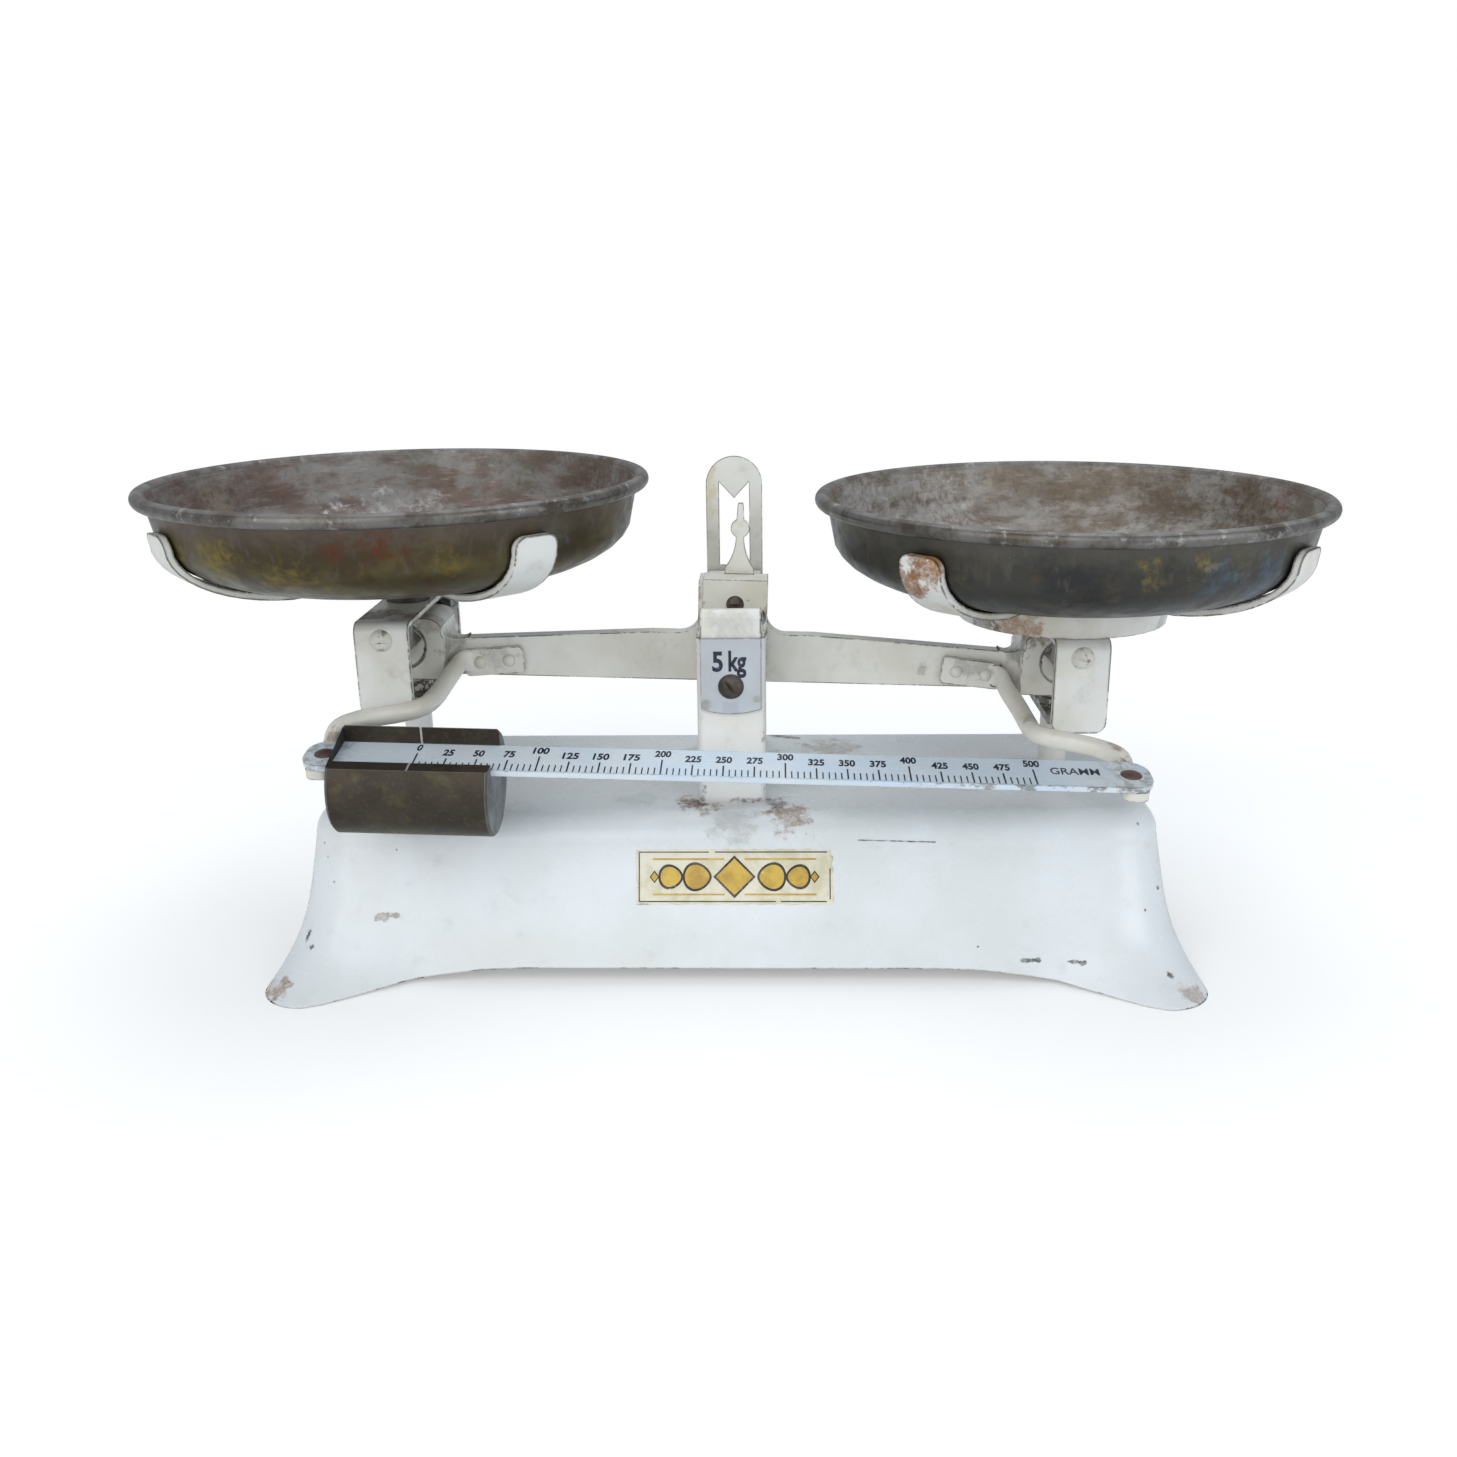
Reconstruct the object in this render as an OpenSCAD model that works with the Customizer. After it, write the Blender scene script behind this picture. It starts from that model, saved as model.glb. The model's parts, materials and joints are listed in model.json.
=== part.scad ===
// Kitchen balance scale: two lift-off bowls on a knife-edge beam, with a graduated bar and a poise.
// Millimetres, Z up. The origin is on the ground under the middle of the base.
// X runs along the beam. The graduated bar hangs in front, on the -Y side.

/* [Pose at rest] */
// Tilt of the beam at rest in degrees, right side down
rest_tilt = 1.8; // [-2.5:0.1:2.5]
// Tilt to either side of level at which the beam meets its stops
beam_swing = 3.3; // [2.6:0.1:3.6]

/* [Bowls] */
// Outer diameter over the rolled rim
bowl_d = 180; // [160:1:200]
// Height from the flat bottom to the top of the rim
bowl_h = 34.5; // [30:0.5:42]
// Diameter of the rolled rim
bowl_bead_d = 5; // [4:0.1:6]
// Sheet thickness of a bowl
bowl_wall = 1.2; // [0.8:0.1:1.6]
// Diameter of the flat bottom
bowl_flat_d = 80; // [70:1:90]

/* [Claw cradles] */
// Width of a claw strip
claw_w = 20; // [14:0.5:24]
// Thickness of a claw strip
claw_t = 2.6; // [2:0.1:3.4]
// Gap between a claw and its bowl
claw_gap = 0.5; // [0.4:0.1:1.5]
// Gap between a claw tip and the rim above it
claw_drop = 3.5; // [2:0.5:10]
// Diameter of the disc where the three strips meet
claw_hub_d = 30; // [24:1:40]

/* [Counterweight and spacer] */
// Largest diameter of the counterweight disc under the right bowl
disc_d = 77; // [60:1:90]
// Thickness of the counterweight disc
disc_h = 8; // [4:0.5:12]
// Diameter of the spacer under the left cradle
spacer_d = 16; // [12:1:24]
// Diameter of the bolt that holds a cradle to its saddle
cradle_bolt_d = 5; // [4:0.5:6]

/* [Beam] */
// Distance from the middle knife to an end knife
arm_a = 120; // [112:1:130]
// Height of the three knife edges above the ground
knife_z = 114.5; // [110:0.5:120]
// Thickness of the arms
arm_t = 6; // [5:0.5:8]
// Height of an arm beside the head
arm_h_mid = 18; // [15:0.5:22]
// Height of an arm beside its hub
arm_h_end = 13.5; // [11:0.5:15]
// Depth of the arm's lower edge under the knife line
arm_drop = 22.5; // [20:0.5:25]
// Width of the head block
head_w = 25; // [22:0.5:28]
// Height of the head block over the knife line
head_rise = 15.5; // [13:0.5:18]
// Thickness of the head block
head_t = 18; // [14:0.5:22]
// Width of an end hub
hub_w = 30; // [27:0.5:33]
// Length of an end hub from front to back
hub_len = 24; // [18:1:32]

/* [Knives and bearings] */
// Half diagonal of the square bar of an end knife
end_knife_r = 7; // [6:0.1:7.6]
// Width of the middle knife
mid_knife_w = 5.2; // [4:0.1:6]
// Height of the middle knife
mid_knife_h = 4.6; // [4.6:0.1:5]
// Gap between a knife edge and its bearing
knife_gap = 0.02; // [0.01:0.01:0.05]
// Gap round a piece that is fitted in its seat
fit_gap = 0.05; // [0.02:0.01:0.1]
// Thickness of the end stop on a bearing
stop_t = 3; // [2:0.5:4]
// Length of the notched part of a bearing
vee_len = 5.4; // [4:0.2:7]
// Gap between a knife and its end stop
stop_gap = 0.3; // [0.1:0.1:0.8]

/* [Pointer and index frame] */
// Sheet thickness of the pointer
pointer_t = 1.6; // [1:0.1:2]
// Height of the pointer tip over the head
pointer_h = 27.5; // [22:0.5:32]
// Width of the pointer's plate
pointer_w = 23.4; // [20:0.2:25]
// Radius of the disc on the pointer
pointer_disc_r = 3.4; // [2.6:0.1:4.5]
// Width of the index frame
frame_w = 21.6; // [19:0.2:24]
// Width of the window in the index frame
window_w = 11.6; // [9:0.2:14]
// Height of the top of the index frame above the ground
frame_top = 170; // [166:0.5:176]
// Sheet thickness of the index frame
frame_t = 1.6; // [1.2:0.1:2.4]
// Length of the tooth that points down in the window
tooth_h = 6.3; // [4:0.1:8]

/* [Posts] */
// Distance between the outer faces of the two posts
post_depth = 72; // [68:1:78]
// Width of a post
post_w = 24; // [22:0.5:28]
// Depth of a post's side flanges
post_flange = 10; // [6:0.5:10]
// Sheet thickness of a post
post_t = 1.6; // [1.2:0.1:2]
// Height of the rolled top of a post above the ground
post_top = 126.3; // [124:0.1:128]
// Radius of the rolled top
curl_r = 3.2; // [2.6:0.1:3.6]
// Length of the rolled top
curl_len = 21; // [17:0.5:21.5]
// Radius of the pin in the rolled top
curl_pin_r = 1.5; // [1:0.1:1.6]

/* [Capacity plate] */
// Width of the capacity plate
plate_w = 21; // [17:0.5:21.5]
// Height of the capacity plate
plate_h = 27; // [24:0.5:30]
// Sheet thickness of the capacity plate
plate_t = 1.2; // [0.8:0.1:1.6]
// Depth of the plate's top edge under the post's top
plate_drop = 9.6; // [8:0.1:12]
// Diameter of the screw head on the plate
plate_screw_d = 9; // [7:0.5:11]

/* [Base] */
// Height of the base
base_h = 56; // [50:1:60]
// Length of the base at its shoulder
base_len = 296; // [284:1:310]
// Width of the base at its shoulder
base_wid = 100; // [94:1:110]
// Spread of the long walls from shoulder to hem, each side
base_batter = 16; // [8:1:20]
// Spread of the end walls from shoulder to hem, each side
end_batter = 3.5; // [1:0.5:8]
// Spread of the feet past the long walls
foot_out = 18; // [10:1:22]
// Spread of the feet past the end walls
foot_side = 10; // [6:1:14]
// Height of the arch between the feet
arch_h = 6; // [3:0.5:12]
// Sheet thickness of the base
base_wall = 1.8; // [1.4:0.1:2.6]
// Radius of the base's upper edge
base_edge_r = 6; // [4:0.5:8]
// Diameter of the holes that the stems pass through
stem_hole_d = 24; // [20:1:28]

/* [Saddles and stems] */
// Width of a saddle
saddle_w = 18.8; // [17:0.2:22]
// Distance between the outer faces of a saddle
saddle_depth = 80; // [76:1:84]
// Sheet thickness of a saddle
saddle_t = 2.2; // [1.6:0.1:2.6]
// Height of a saddle's top over the knife line
saddle_rise = 5; // [4.4:0.1:6]
// Depth of a saddle's hem under the knife line
saddle_drop = 24.5; // [22:0.5:27]
// Diameter of the round hole in the rear of a saddle
saddle_hole_d = 13; // [10:0.5:13.5]
// Width of the yoke strip inside a saddle
yoke_w = 12; // [10:0.5:13]
// Thickness of the yoke strip
yoke_t = 2.8; // [2:0.1:3]
// Depth of the yoke's floor under the knife line
yoke_drop = 28.5; // [27.5:0.5:31]
// Diameter of a stem
stem_d = 10.2; // [9:0.2:12]
// Thickness of the blade at a stem's foot
blade_t = 4; // [3:0.2:5]

/* [Stay] */
// Height of the stay's pivot above the ground
stay_z = 20; // [18:0.5:24]
// Thickness of the stay
stay_t = 4; // [3:0.2:5]
// Height of the stay at its pivot
stay_h = 13; // [11:0.5:15]
// Thickness of a fork cheek
cheek_t = 2.4; // [1.8:0.1:3]
// Gap on each side of a stem's blade
blade_gap = 0.3; // [0.15:0.05:0.6]
// Radius of the stay's pivot pin
pivot_r = 2.5; // [2:0.1:3]
// Radius of the pins in the forks
link_r = 2; // [1.6:0.1:2.4]
// Radial clearance of the pins
pin_gap = 0.08; // [0.05:0.01:0.1]

/* [Scale bar and poise] */
// Length of the graduated bar
bar_len = 275; // [266:1:284]
// Width of the graduated bar
bar_w = 18; // [16:0.5:20]
// Thickness of the graduated bar
bar_t = 1.8; // [1.4:0.1:2.4]
// Distance of the bar in front of the knife plane
bar_y = 73.6; // [70:0.2:78]
// Depth of the bar under the knife line
bar_drop = 31.4; // [29:0.1:34]
// Lean of the bar towards the front in degrees
bar_lean = 9; // [0:1:15]
// Distance from the middle to a rivet at the end of the bar
bar_rivet_x = 131; // [127:0.5:133]
// Diameter of the rivets at the ends of the bar
bar_rivet_d = 7; // [5:0.2:7.2]
// Diameter of the poise
poise_d = 35.4; // [33:0.2:38]
// Length of the poise
poise_len = 52; // [44:0.5:52]
// Distance from the bar's middle plane down to the poise's axis
poise_drop = 7.4; // [6:0.1:9]
// Distance from the middle to the zero mark
zero_x = 101; // [98:0.5:101]
// Gap between the bar and the poise's slot
slot_gap = 0.15; // [0.1:0.05:0.4]
// Width of the poise's opening over the bar
slot_open = 13; // [10:0.5:14]
// Diameter of the adjusting chamber in the poise
chamber_d = 18; // [12:0.5:20]
// Depth of the adjusting chamber in the poise
chamber_len = 36; // [20:0.5:40]

/* [Rods] */
// Diameter of the rods that carry the bar
rod_d = 6.5; // [5:0.1:7]
// Thickness of the flattened tab of a rod
tab_t = 2.5; // [2:0.1:3]
// Length of the tab
tab_len = 22; // [20:0.5:24]
// Height of the tab
tab_h = 10; // [9:0.5:11]
// Diameter of the rivet heads on a tab
rod_rivet_d = 4.6; // [4:0.1:5]

/* [Hidden] */
$fn = 64;

// Heights that several pieces share
saddle_top = knife_z + saddle_rise;
cradle_z = saddle_top + disc_h;
bowl_z = cradle_z + claw_t;
tie_z = base_h - base_wall;
tie_t = 2.5;
bearing_mid_top = knife_z + 4;
post_in = post_depth / 2 - post_t;
saddle_in = saddle_depth / 2 - saddle_t;
arm_bottom = knife_z - arm_drop;
rod_z = arm_bottom + 4.8;
rivet_z = rod_z + 1;
rivet_step = 11;
tab_tilt = 5.5;
plate_top = post_top - plate_drop;
plate_screw_z = plate_top - 17.1;
screw_shank_r = 2;
eye_r = 6;
bar_z = knife_z - bar_drop;

// Placing on the moving bodies

module on_beam() {
  translate([0, 0, knife_z])
    rotate([0, rest_tilt, 0])
      translate([0, 0, -knife_z])
        children();
}

module on_stay() {
  translate([0, 0, stay_z])
    rotate([0, rest_tilt, 0])
      translate([0, 0, -stay_z])
        children();
}

// side is -1 for the left carrier and 1 for the right one
module on_carrier(side) {
  translate([side * arm_a * cos(rest_tilt), 0, -side * arm_a * sin(rest_tilt)])
    children();
}

// The bar's own frame: its middle plane is the XY plane
module on_bar() {
  translate([0, -bar_y, bar_z])
    rotate([bar_lean, 0, 0])
      children();
}

// Small shared shapes

// A domed head on the XY plane, with its slot if one is asked for
module dome(r, h, slot = 0) {
  ball = (r * r + h * h) / (2 * h);
  difference() {
    intersection() {
      translate([0, 0, h - ball])
        sphere(r = ball);
      cylinder(r = r, h = h);
    }
    if (slot > 0)
      translate([-r - 1, -slot / 2, h * 0.55])
        cube([2 * r + 2, slot, h]);
  }
}

// Turns a shape drawn along Z so that it points to -Y
module to_front() {
  rotate([90, 0, 0])
    children();
}

// Extrudes a drawing in the XZ plane from y1 to y2
module slab_y(y1, y2) {
  translate([0, y2, 0])
    rotate([90, 0, 0])
      linear_extrude(height = y2 - y1)
        children();
}

// Extrudes a drawing in the YZ plane from x1 to x2
module slab_x(x1, x2) {
  translate([x1, 0, 0])
    rotate([90, 0, 90])
      linear_extrude(height = x2 - x1)
        children();
}

module round_rect(w, h, r) {
  union() {
    square([w - 2 * r, h], center = true);
    square([w, h - 2 * r], center = true);
    for (sx = [-1, 1])
      for (sy = [-1, 1])
        translate([sx * (w / 2 - r), sy * (h / 2 - r)])
          circle(r = r);
  }
}

// Base: one pressed shell, lofted through rings of stations round the outline

long_n = 17;
short_n = 7;
corner_n = 6;
foot_r = 16;

function smooth(t) = let (c = min(1, max(0, t))) c * c * (3 - 2 * c);
function corner(sx, sy, a0) = [
  for (j = [0:corner_n])
    [sx, sy, cos(a0 + 90 * j / corner_n), sin(a0 + 90 * j / corner_n)]
];
stations = concat(
  [for (m = [1:short_n]) [1, 2 * m / (short_n + 1) - 1, 1, 0]],
  corner(1, 1, 0),
  [for (m = [1:long_n]) [1 - 2 * m / (long_n + 1), 1, 0, 1]],
  corner(-1, 1, 90),
  [for (m = [1:short_n]) [-1, 1 - 2 * m / (short_n + 1), -1, 0]],
  corner(-1, -1, 180),
  [for (m = [1:long_n]) [2 * m / (long_n + 1) - 1, -1, 0, -1]],
  corner(1, -1, 270)
);
station_n = len(stations);

// 1 at a foot, 0 at the arches
function foot_share(s) =
  abs(s[2]) > 0.001 && abs(s[3]) > 0.001 ? 1
  : abs(s[3]) > 0.001 ? 1 - smooth((1 - abs(s[0])) * base_len / 2 / 42)
  : 1 - smooth((1 - abs(s[1])) * base_wid / 2 / 34);

function rr_point(s, l, w, r) = [s[0] * (l - r) + s[2] * r, s[1] * (w - r) + s[3] * r];

// A ring in the rounded upper edge, at angle a from the vertical, with the sheet's inset
function edge_ring(a, inset) = [
  for (s = stations)
    let (
      e = base_edge_r * (1 - sin(a)) + inset * sin(a),
      p = rr_point(s, base_len / 2 - e, base_wid / 2 - e, 20 - e)
    )
    [p[0], p[1], base_h - base_edge_r + base_edge_r * cos(a) - inset * cos(a)]
];

// A ring in the wall, t from 0 at the shoulder to 1 at the hem
function wall_ring(t, inset, lip) = [
  for (s = stations)
    let (
      c = foot_share(s),
      l = base_len / 2 + end_batter * t - inset,
      w = base_wid / 2 + base_batter * t - inset,
      p = rr_point(s, l, w, 20 + 4 * t - inset),
      q = rr_point(s, l + foot_side, w + foot_out, foot_r),
      k = c * pow(t, 5) - c * lip,
      hem = arch_h * (1 - c)
    )
    [
      p[0] + (q[0] - p[0]) * k,
      p[1] + (q[1] - p[1]) * k,
      (base_h - base_edge_r) * (1 - t) + hem * t
    ]
];

wall_steps = [0.35, 0.6, 0.74, 0.84, 0.91, 0.96, 1];
rings = concat(
  [for (a = [0, 25, 50, 80]) edge_ring(a, 0)],
  [for (t = wall_steps) wall_ring(t, 0, 0)],
  [wall_ring(1, base_wall, 0.16)],
  [for (i = [len(wall_steps) - 2:-1:0]) wall_ring(wall_steps[i], base_wall, 0)],
  [for (a = [80, 50, 25, 0]) edge_ring(a, base_wall)]
);

module shell_body() {
  pts = [for (ring = rings) for (p = ring) p];
  last = (len(rings) - 1) * station_n;
  top = len(pts);
  polyhedron(
    points = concat(pts, [[0, 0, base_h], [0, 0, base_h - base_wall]]),
    faces = concat(
      [for (i = [0:station_n - 1]) [(i + 1) % station_n, i, top]],
      [for (k = [0:len(rings) - 2])
        for (i = [0:station_n - 1])
          for (half = [0, 1])
            let (
              j = (i + 1) % station_n,
              a = k * station_n + i,
              b = k * station_n + j,
              c = (k + 1) * station_n + j,
              d = (k + 1) * station_n + i
            )
            half == 0 ? [a, b, c] : [a, c, d]],
      [for (i = [0:station_n - 1]) [last + i, last + (i + 1) % station_n, top + 1]]
    ),
    convexity = 6
  );
}

// Slot in the base's top for one post
module post_slot(side) {
  translate([-post_w / 2 - fit_gap, side > 0 ? post_depth / 2 - post_flange - fit_gap
    : -post_depth / 2 - fit_gap, tie_z - 1])
    cube([post_w + 2 * fit_gap, post_flange + 2 * fit_gap, base_wall + 2]);
}

tie_rivet_y = 14;
tie_rivet_r = 2.2;

module base_shell() {
  color("whitesmoke")
    difference() {
      shell_body();
      for (side = [-1, 1]) {
        translate([side * arm_a, 0, tie_z - 1])
          cylinder(d = stem_hole_d, h = base_wall + 2);
        post_slot(side);
        translate([0, side * tie_rivet_y, tie_z - 1])
          cylinder(r = tie_rivet_r + fit_gap, h = base_wall + 2);
      }
    }
}

// Posts: pressed channels with a rolled top

module post_channel() {
  bend = 2.4;
  translate([0, 0, tie_z])
    linear_extrude(height = plate_top - tie_z)
      difference() {
        translate([0, post_flange / 2])
          union() {
            round_rect(post_w, post_flange, bend);
            translate([-post_w / 2, -post_flange / 2 + bend])
              square([post_w, post_flange - bend]);
          }
        translate([-post_w / 2 + post_t, post_t])
          square([post_w - 2 * post_t, post_flange]);
      }
}

// One post with its front face on y = 0, facing -Y
module post_shape() {
  difference() {
    union() {
      post_channel();
      slab_x(-curl_len / 2, curl_len / 2)
        union() {
          translate([0, plate_top - 4])
            square([post_t, post_top - curl_r - plate_top + 4]);
          translate([curl_r, post_top - curl_r])
            circle(r = curl_r);
        }
    }
    translate([-curl_len, curl_r, post_top - curl_r])
      rotate([0, 90, 0])
        cylinder(r = curl_pin_r + fit_gap, h = 2 * curl_len);
    translate([0, 0, plate_screw_z])
      rotate([-90, 0, 0])
        cylinder(r = screw_shank_r + fit_gap, h = 4 * post_t, center = true);
  }
}

module post_front() {
  color("ivory")
    translate([0, -post_depth / 2, 0])
      post_shape();
}

module post_rear() {
  color("ivory")
    difference() {
      rotate([0, 0, 180])
        translate([0, -post_depth / 2, 0])
          post_shape();
      translate([0, post_depth / 2, frame_screw_z])
        rotate([90, 0, 0])
          cylinder(r = frame_screw_r + fit_gap, h = 4 * post_t, center = true);
    }
}

module curl_pins() {
  color("dimgray")
    for (a = [0, 180])
      rotate([0, 0, a])
        translate([-curl_len / 2, -post_depth / 2 + curl_r, post_top - curl_r])
          rotate([0, 90, 0]) {
            cylinder(r = curl_pin_r, h = curl_len + 0.6);
            translate([0, 0, curl_len + 0.3])
              dome(curl_r * 0.85, 1.6);
          }
}

// Plate under the base's top that carries both posts
module post_tie() {
  color("gray")
    difference() {
      translate([-post_w / 2 - 4, -post_depth / 2 - 4, tie_z - tie_t])
        cube([post_w + 8, post_depth + 8, tie_t]);
      for (side = [-1, 1])
        translate([0, side * tie_rivet_y, tie_z - tie_t - 1])
          cylinder(r = tie_rivet_r + fit_gap, h = tie_t + 2);
    }
}

module tie_rivets() {
  color("ivory")
    for (side = [-1, 1])
      translate([0, side * tie_rivet_y, 0]) {
        translate([0, 0, tie_z - tie_t])
          cylinder(r = tie_rivet_r, h = base_wall + tie_t);
        translate([0, 0, base_h])
          dome(4, 1.6);
        translate([0, 0, tie_z - tie_t])
          mirror([0, 0, 1])
            dome(3.6, 1.4);
      }
}

// Notched bearing: the notch opens to +Z, its floor line is on z = 0, the stop is at +Y
module vee_block(w, up, down, screw_dz, screw_r) {
  difference() {
    translate([-w / 2, 0, -down])
      cube([w, vee_len + stop_t, up + down]);
    translate([0, 0, 0])
      slab_y(-1, vee_len)
        polygon([[0, 0], [w, w * tan(30)], [w, up + w], [-w, up + w], [-w, w * tan(30)]]);
    translate([0, 0, screw_dz])
      rotate([-90, 0, 0])
        cylinder(r = screw_r + fit_gap, h = 60, center = true);
  }
}

bearing_w = 16;

module centre_bearings() {
  color("slategray")
    for (a = [0, 180])
      rotate([0, 0, a])
        translate([0, post_in - vee_len - stop_t, knife_z - knife_gap])
          vee_block(bearing_w, bearing_mid_top - knife_z, knife_z - plate_screw_z + 5,
            plate_screw_z - knife_z + knife_gap, screw_shank_r);
}

module capacity_plate() {
  color("lightsteelblue")
    difference() {
      slab_y(-post_depth / 2 - plate_t, -post_depth / 2)
        intersection() {
          translate([-plate_w / 2, plate_top - plate_h])
            square([plate_w, plate_h]);
          translate([0, plate_top - plate_h + plate_w * 1.6])
            circle(r = plate_w * 1.6);
        }
      translate([0, -post_depth / 2, plate_screw_z])
        rotate([90, 0, 0])
          cylinder(r = screw_shank_r + fit_gap, h = 4 * plate_t, center = true);
    }
}

// A screw along -Y: its head's seat is on y = 0 and its shank runs back to y = len
module face_screw(head_d, head_h, shank_r, len, turn) {
  rotate([0, turn, 0])
    to_front()
      dome(head_d / 2, head_h, head_d * 0.13);
  rotate([-90, 0, 0])
    cylinder(r = shank_r, h = len);
}

module capacity_screw() {
  color("dimgray")
    translate([0, -post_depth / 2 - plate_t, plate_screw_z])
      face_screw(plate_screw_d, 2.4, screw_shank_r, plate_t + post_t + vee_len + stop_t, 52);
}

// Index frame, screwed to the back of the rear post

frame_screw_z = plate_screw_z;
frame_screw_r = screw_shank_r;
window_top = frame_top - 9.7;
window_low = knife_z + head_rise - 2;

module index_frame() {
  color("ivory")
    difference() {
      slab_y(post_depth / 2, post_depth / 2 + frame_t)
        difference() {
          union() {
            translate([-frame_w / 2, frame_screw_z - 8])
              square([frame_w, frame_top - frame_w / 2 - frame_screw_z + 8]);
            translate([0, frame_top - frame_w / 2])
              circle(r = frame_w / 2);
          }
          polygon([
            [-window_w / 2, window_low],
            [window_w / 2, window_low],
            [window_w / 2, window_top],
            [0, window_top - tooth_h],
            [-window_w / 2, window_top]
          ]);
        }
      translate([0, post_depth / 2, frame_screw_z])
        rotate([90, 0, 0])
          cylinder(r = frame_screw_r + fit_gap, h = 6 * frame_t, center = true);
    }
}

module frame_screws() {
  color("dimgray")
    translate([0, post_depth / 2 + frame_t, frame_screw_z])
      rotate([0, 0, 180])
        face_screw(plate_screw_d, 2.4, frame_screw_r, frame_t + post_t + vee_len + stop_t, 35);
}

// Stay bracket under the tie plate

bracket_in = stay_t / 2 + 4.2;
bracket_t = 2.5;
bracket_low = stay_z - 7;

module stay_bracket() {
  color("gray")
    difference() {
      slab_x(-9, 9)
        union() {
          translate([-bracket_in - bracket_t, tie_z - tie_t - bracket_t])
            square([2 * (bracket_in + bracket_t), bracket_t]);
          for (side = [-1, 1])
            translate([side * (bracket_in + bracket_t / 2) - bracket_t / 2, bracket_low])
              square([bracket_t, tie_z - tie_t - bracket_low]);
        }
      translate([0, 0, stay_z])
        rotate([90, 0, 0])
          cylinder(r = pivot_r + fit_gap, h = 60, center = true);
      for (side = [-1, 1])
        slab_y(-60, 60)
          translate([side * 9, bracket_low])
            rotate([0, 0, 45])
              square([5, 5], center = true);
    }
}

module stay_pivot() {
  half = bracket_in + bracket_t;
  color("silver") {
    translate([0, half + 0.8, stay_z])
      rotate([90, 0, 0])
        cylinder(r = pivot_r, h = 2 * half + 1.6);
    for (side = [-1, 1])
      translate([0, side * half, stay_z])
        rotate([-90 * side, 0, 0])
          dome(pivot_r + 1.6, 1.8);
  }
}

// Beam casting: a side drawing and a plan drawing, crossed

head_top = knife_z + head_rise;
arm_top_mid = arm_bottom + arm_h_mid;
arm_top_end = arm_bottom + arm_h_end;
hub_top = knife_z + 0.5;
hub_x = arm_a - hub_w / 2;
side_fillet = 7;

module beam_side() {
  difference() {
    union() {
      polygon([
        [-hub_x, arm_bottom], [hub_x, arm_bottom], [hub_x, arm_top_end],
        [30, arm_top_mid], [-30, arm_top_mid], [-hub_x, arm_top_end]
      ]);
      translate([-head_w / 2, arm_bottom])
        square([head_w, head_top - arm_bottom]);
      for (side = [-1, 1]) {
        translate([side * arm_a, (hub_top + arm_bottom) / 2])
          round_rect(hub_w, hub_top - arm_bottom, 6);
        translate([side * hub_x - 7, arm_bottom])
          square([14, arm_h_end + 3]);
        translate([side * (head_w / 2 + side_fillet / 2), arm_top_mid + side_fillet / 2 - 0.5])
          square([side_fillet, side_fillet + 1], center = true);
      }
    }
    for (side = [-1, 1]) {
      translate([side * (head_w / 2 + side_fillet), arm_top_mid + side_fillet])
        circle(r = side_fillet);
      translate([side * (hub_x - 4), arm_top_end + 5.2])
        circle(r = 5);
    }
  }
}

module beam_plan() {
  union() {
    square([2 * hub_x, arm_t], center = true);
    for (side = [-1, 1])
      translate([side * arm_a, 0])
        square([hub_w, hub_len], center = true);
    square([head_w, head_t], center = true);
    for (side = [-1, 1])
      for (face = [-1, 1])
        difference() {
          translate([side * (hub_x - 2), face * (arm_t / 2 + 2)])
            square([6, 6], center = true);
          translate([side * (hub_x - 5), face * (arm_t / 2 + 5)])
            circle(r = 5);
        }
  }
}

module end_knife_outline(grow) {
  translate([0, knife_z - end_knife_r])
    rotate([0, 0, 45])
      square((end_knife_r + grow) * sqrt(2), center = true);
}

module mid_knife_outline(grow) {
  half = mid_knife_w / 2 + grow;
  translate([0, knife_z])
    polygon([
      [0, -grow * 2], [half, half * 1.73 - grow * 2], [half, mid_knife_h + grow],
      [-half, mid_knife_h + grow], [-half, half * 1.73 - grow * 2]
    ]);
}

pointer_set = 0.8;
blade_set = 1.9;
pointer_screw_r = 1.3;
pointer_screw_d = 6.4;
pointer_low = mid_knife_h + 0.4;
pointer_screw_z = knife_z + pointer_low + pointer_screw_d / 2;

module beam_casting() {
  color("antiquewhite")
    on_beam()
      difference() {
        intersection() {
          slab_y(-hub_len, hub_len)
            beam_side();
          translate([0, 0, arm_bottom - 1])
            linear_extrude(height = head_top - arm_bottom + 2)
              beam_plan();
        }
        slab_y(-head_t, head_t)
          mid_knife_outline(fit_gap);
        for (side = [-1, 1]) {
          translate([side * arm_a, 0, 0]) {
            slab_y(-hub_len, hub_len)
              end_knife_outline(fit_gap);
            for (face = [0, 180])
              rotate([0, 0, face])
                translate([0, -hub_len / 2, knife_z - end_knife_r - 3])
                  to_front()
                    difference() {
                      cylinder(r = 8.6, h = 1.6, center = true);
                      cylinder(r = 7.9, h = 2, center = true);
                    }
          }
          for (i = [0, 1])
            translate([side * rivet_at(i)[0], 0, rivet_at(i)[1]])
              rotate([90, 0, 0])
                cylinder(r = rod_rivet_r + fit_gap, h = 4 * arm_t, center = true);
        }
        translate([pointer_set, -head_t, pointer_screw_z])
          rotate([-90, 0, 0])
            cylinder(r = pointer_screw_r + fit_gap, h = head_t);
      }
}

// Pointer: one bent sheet, screwed to the front of the head

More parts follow.
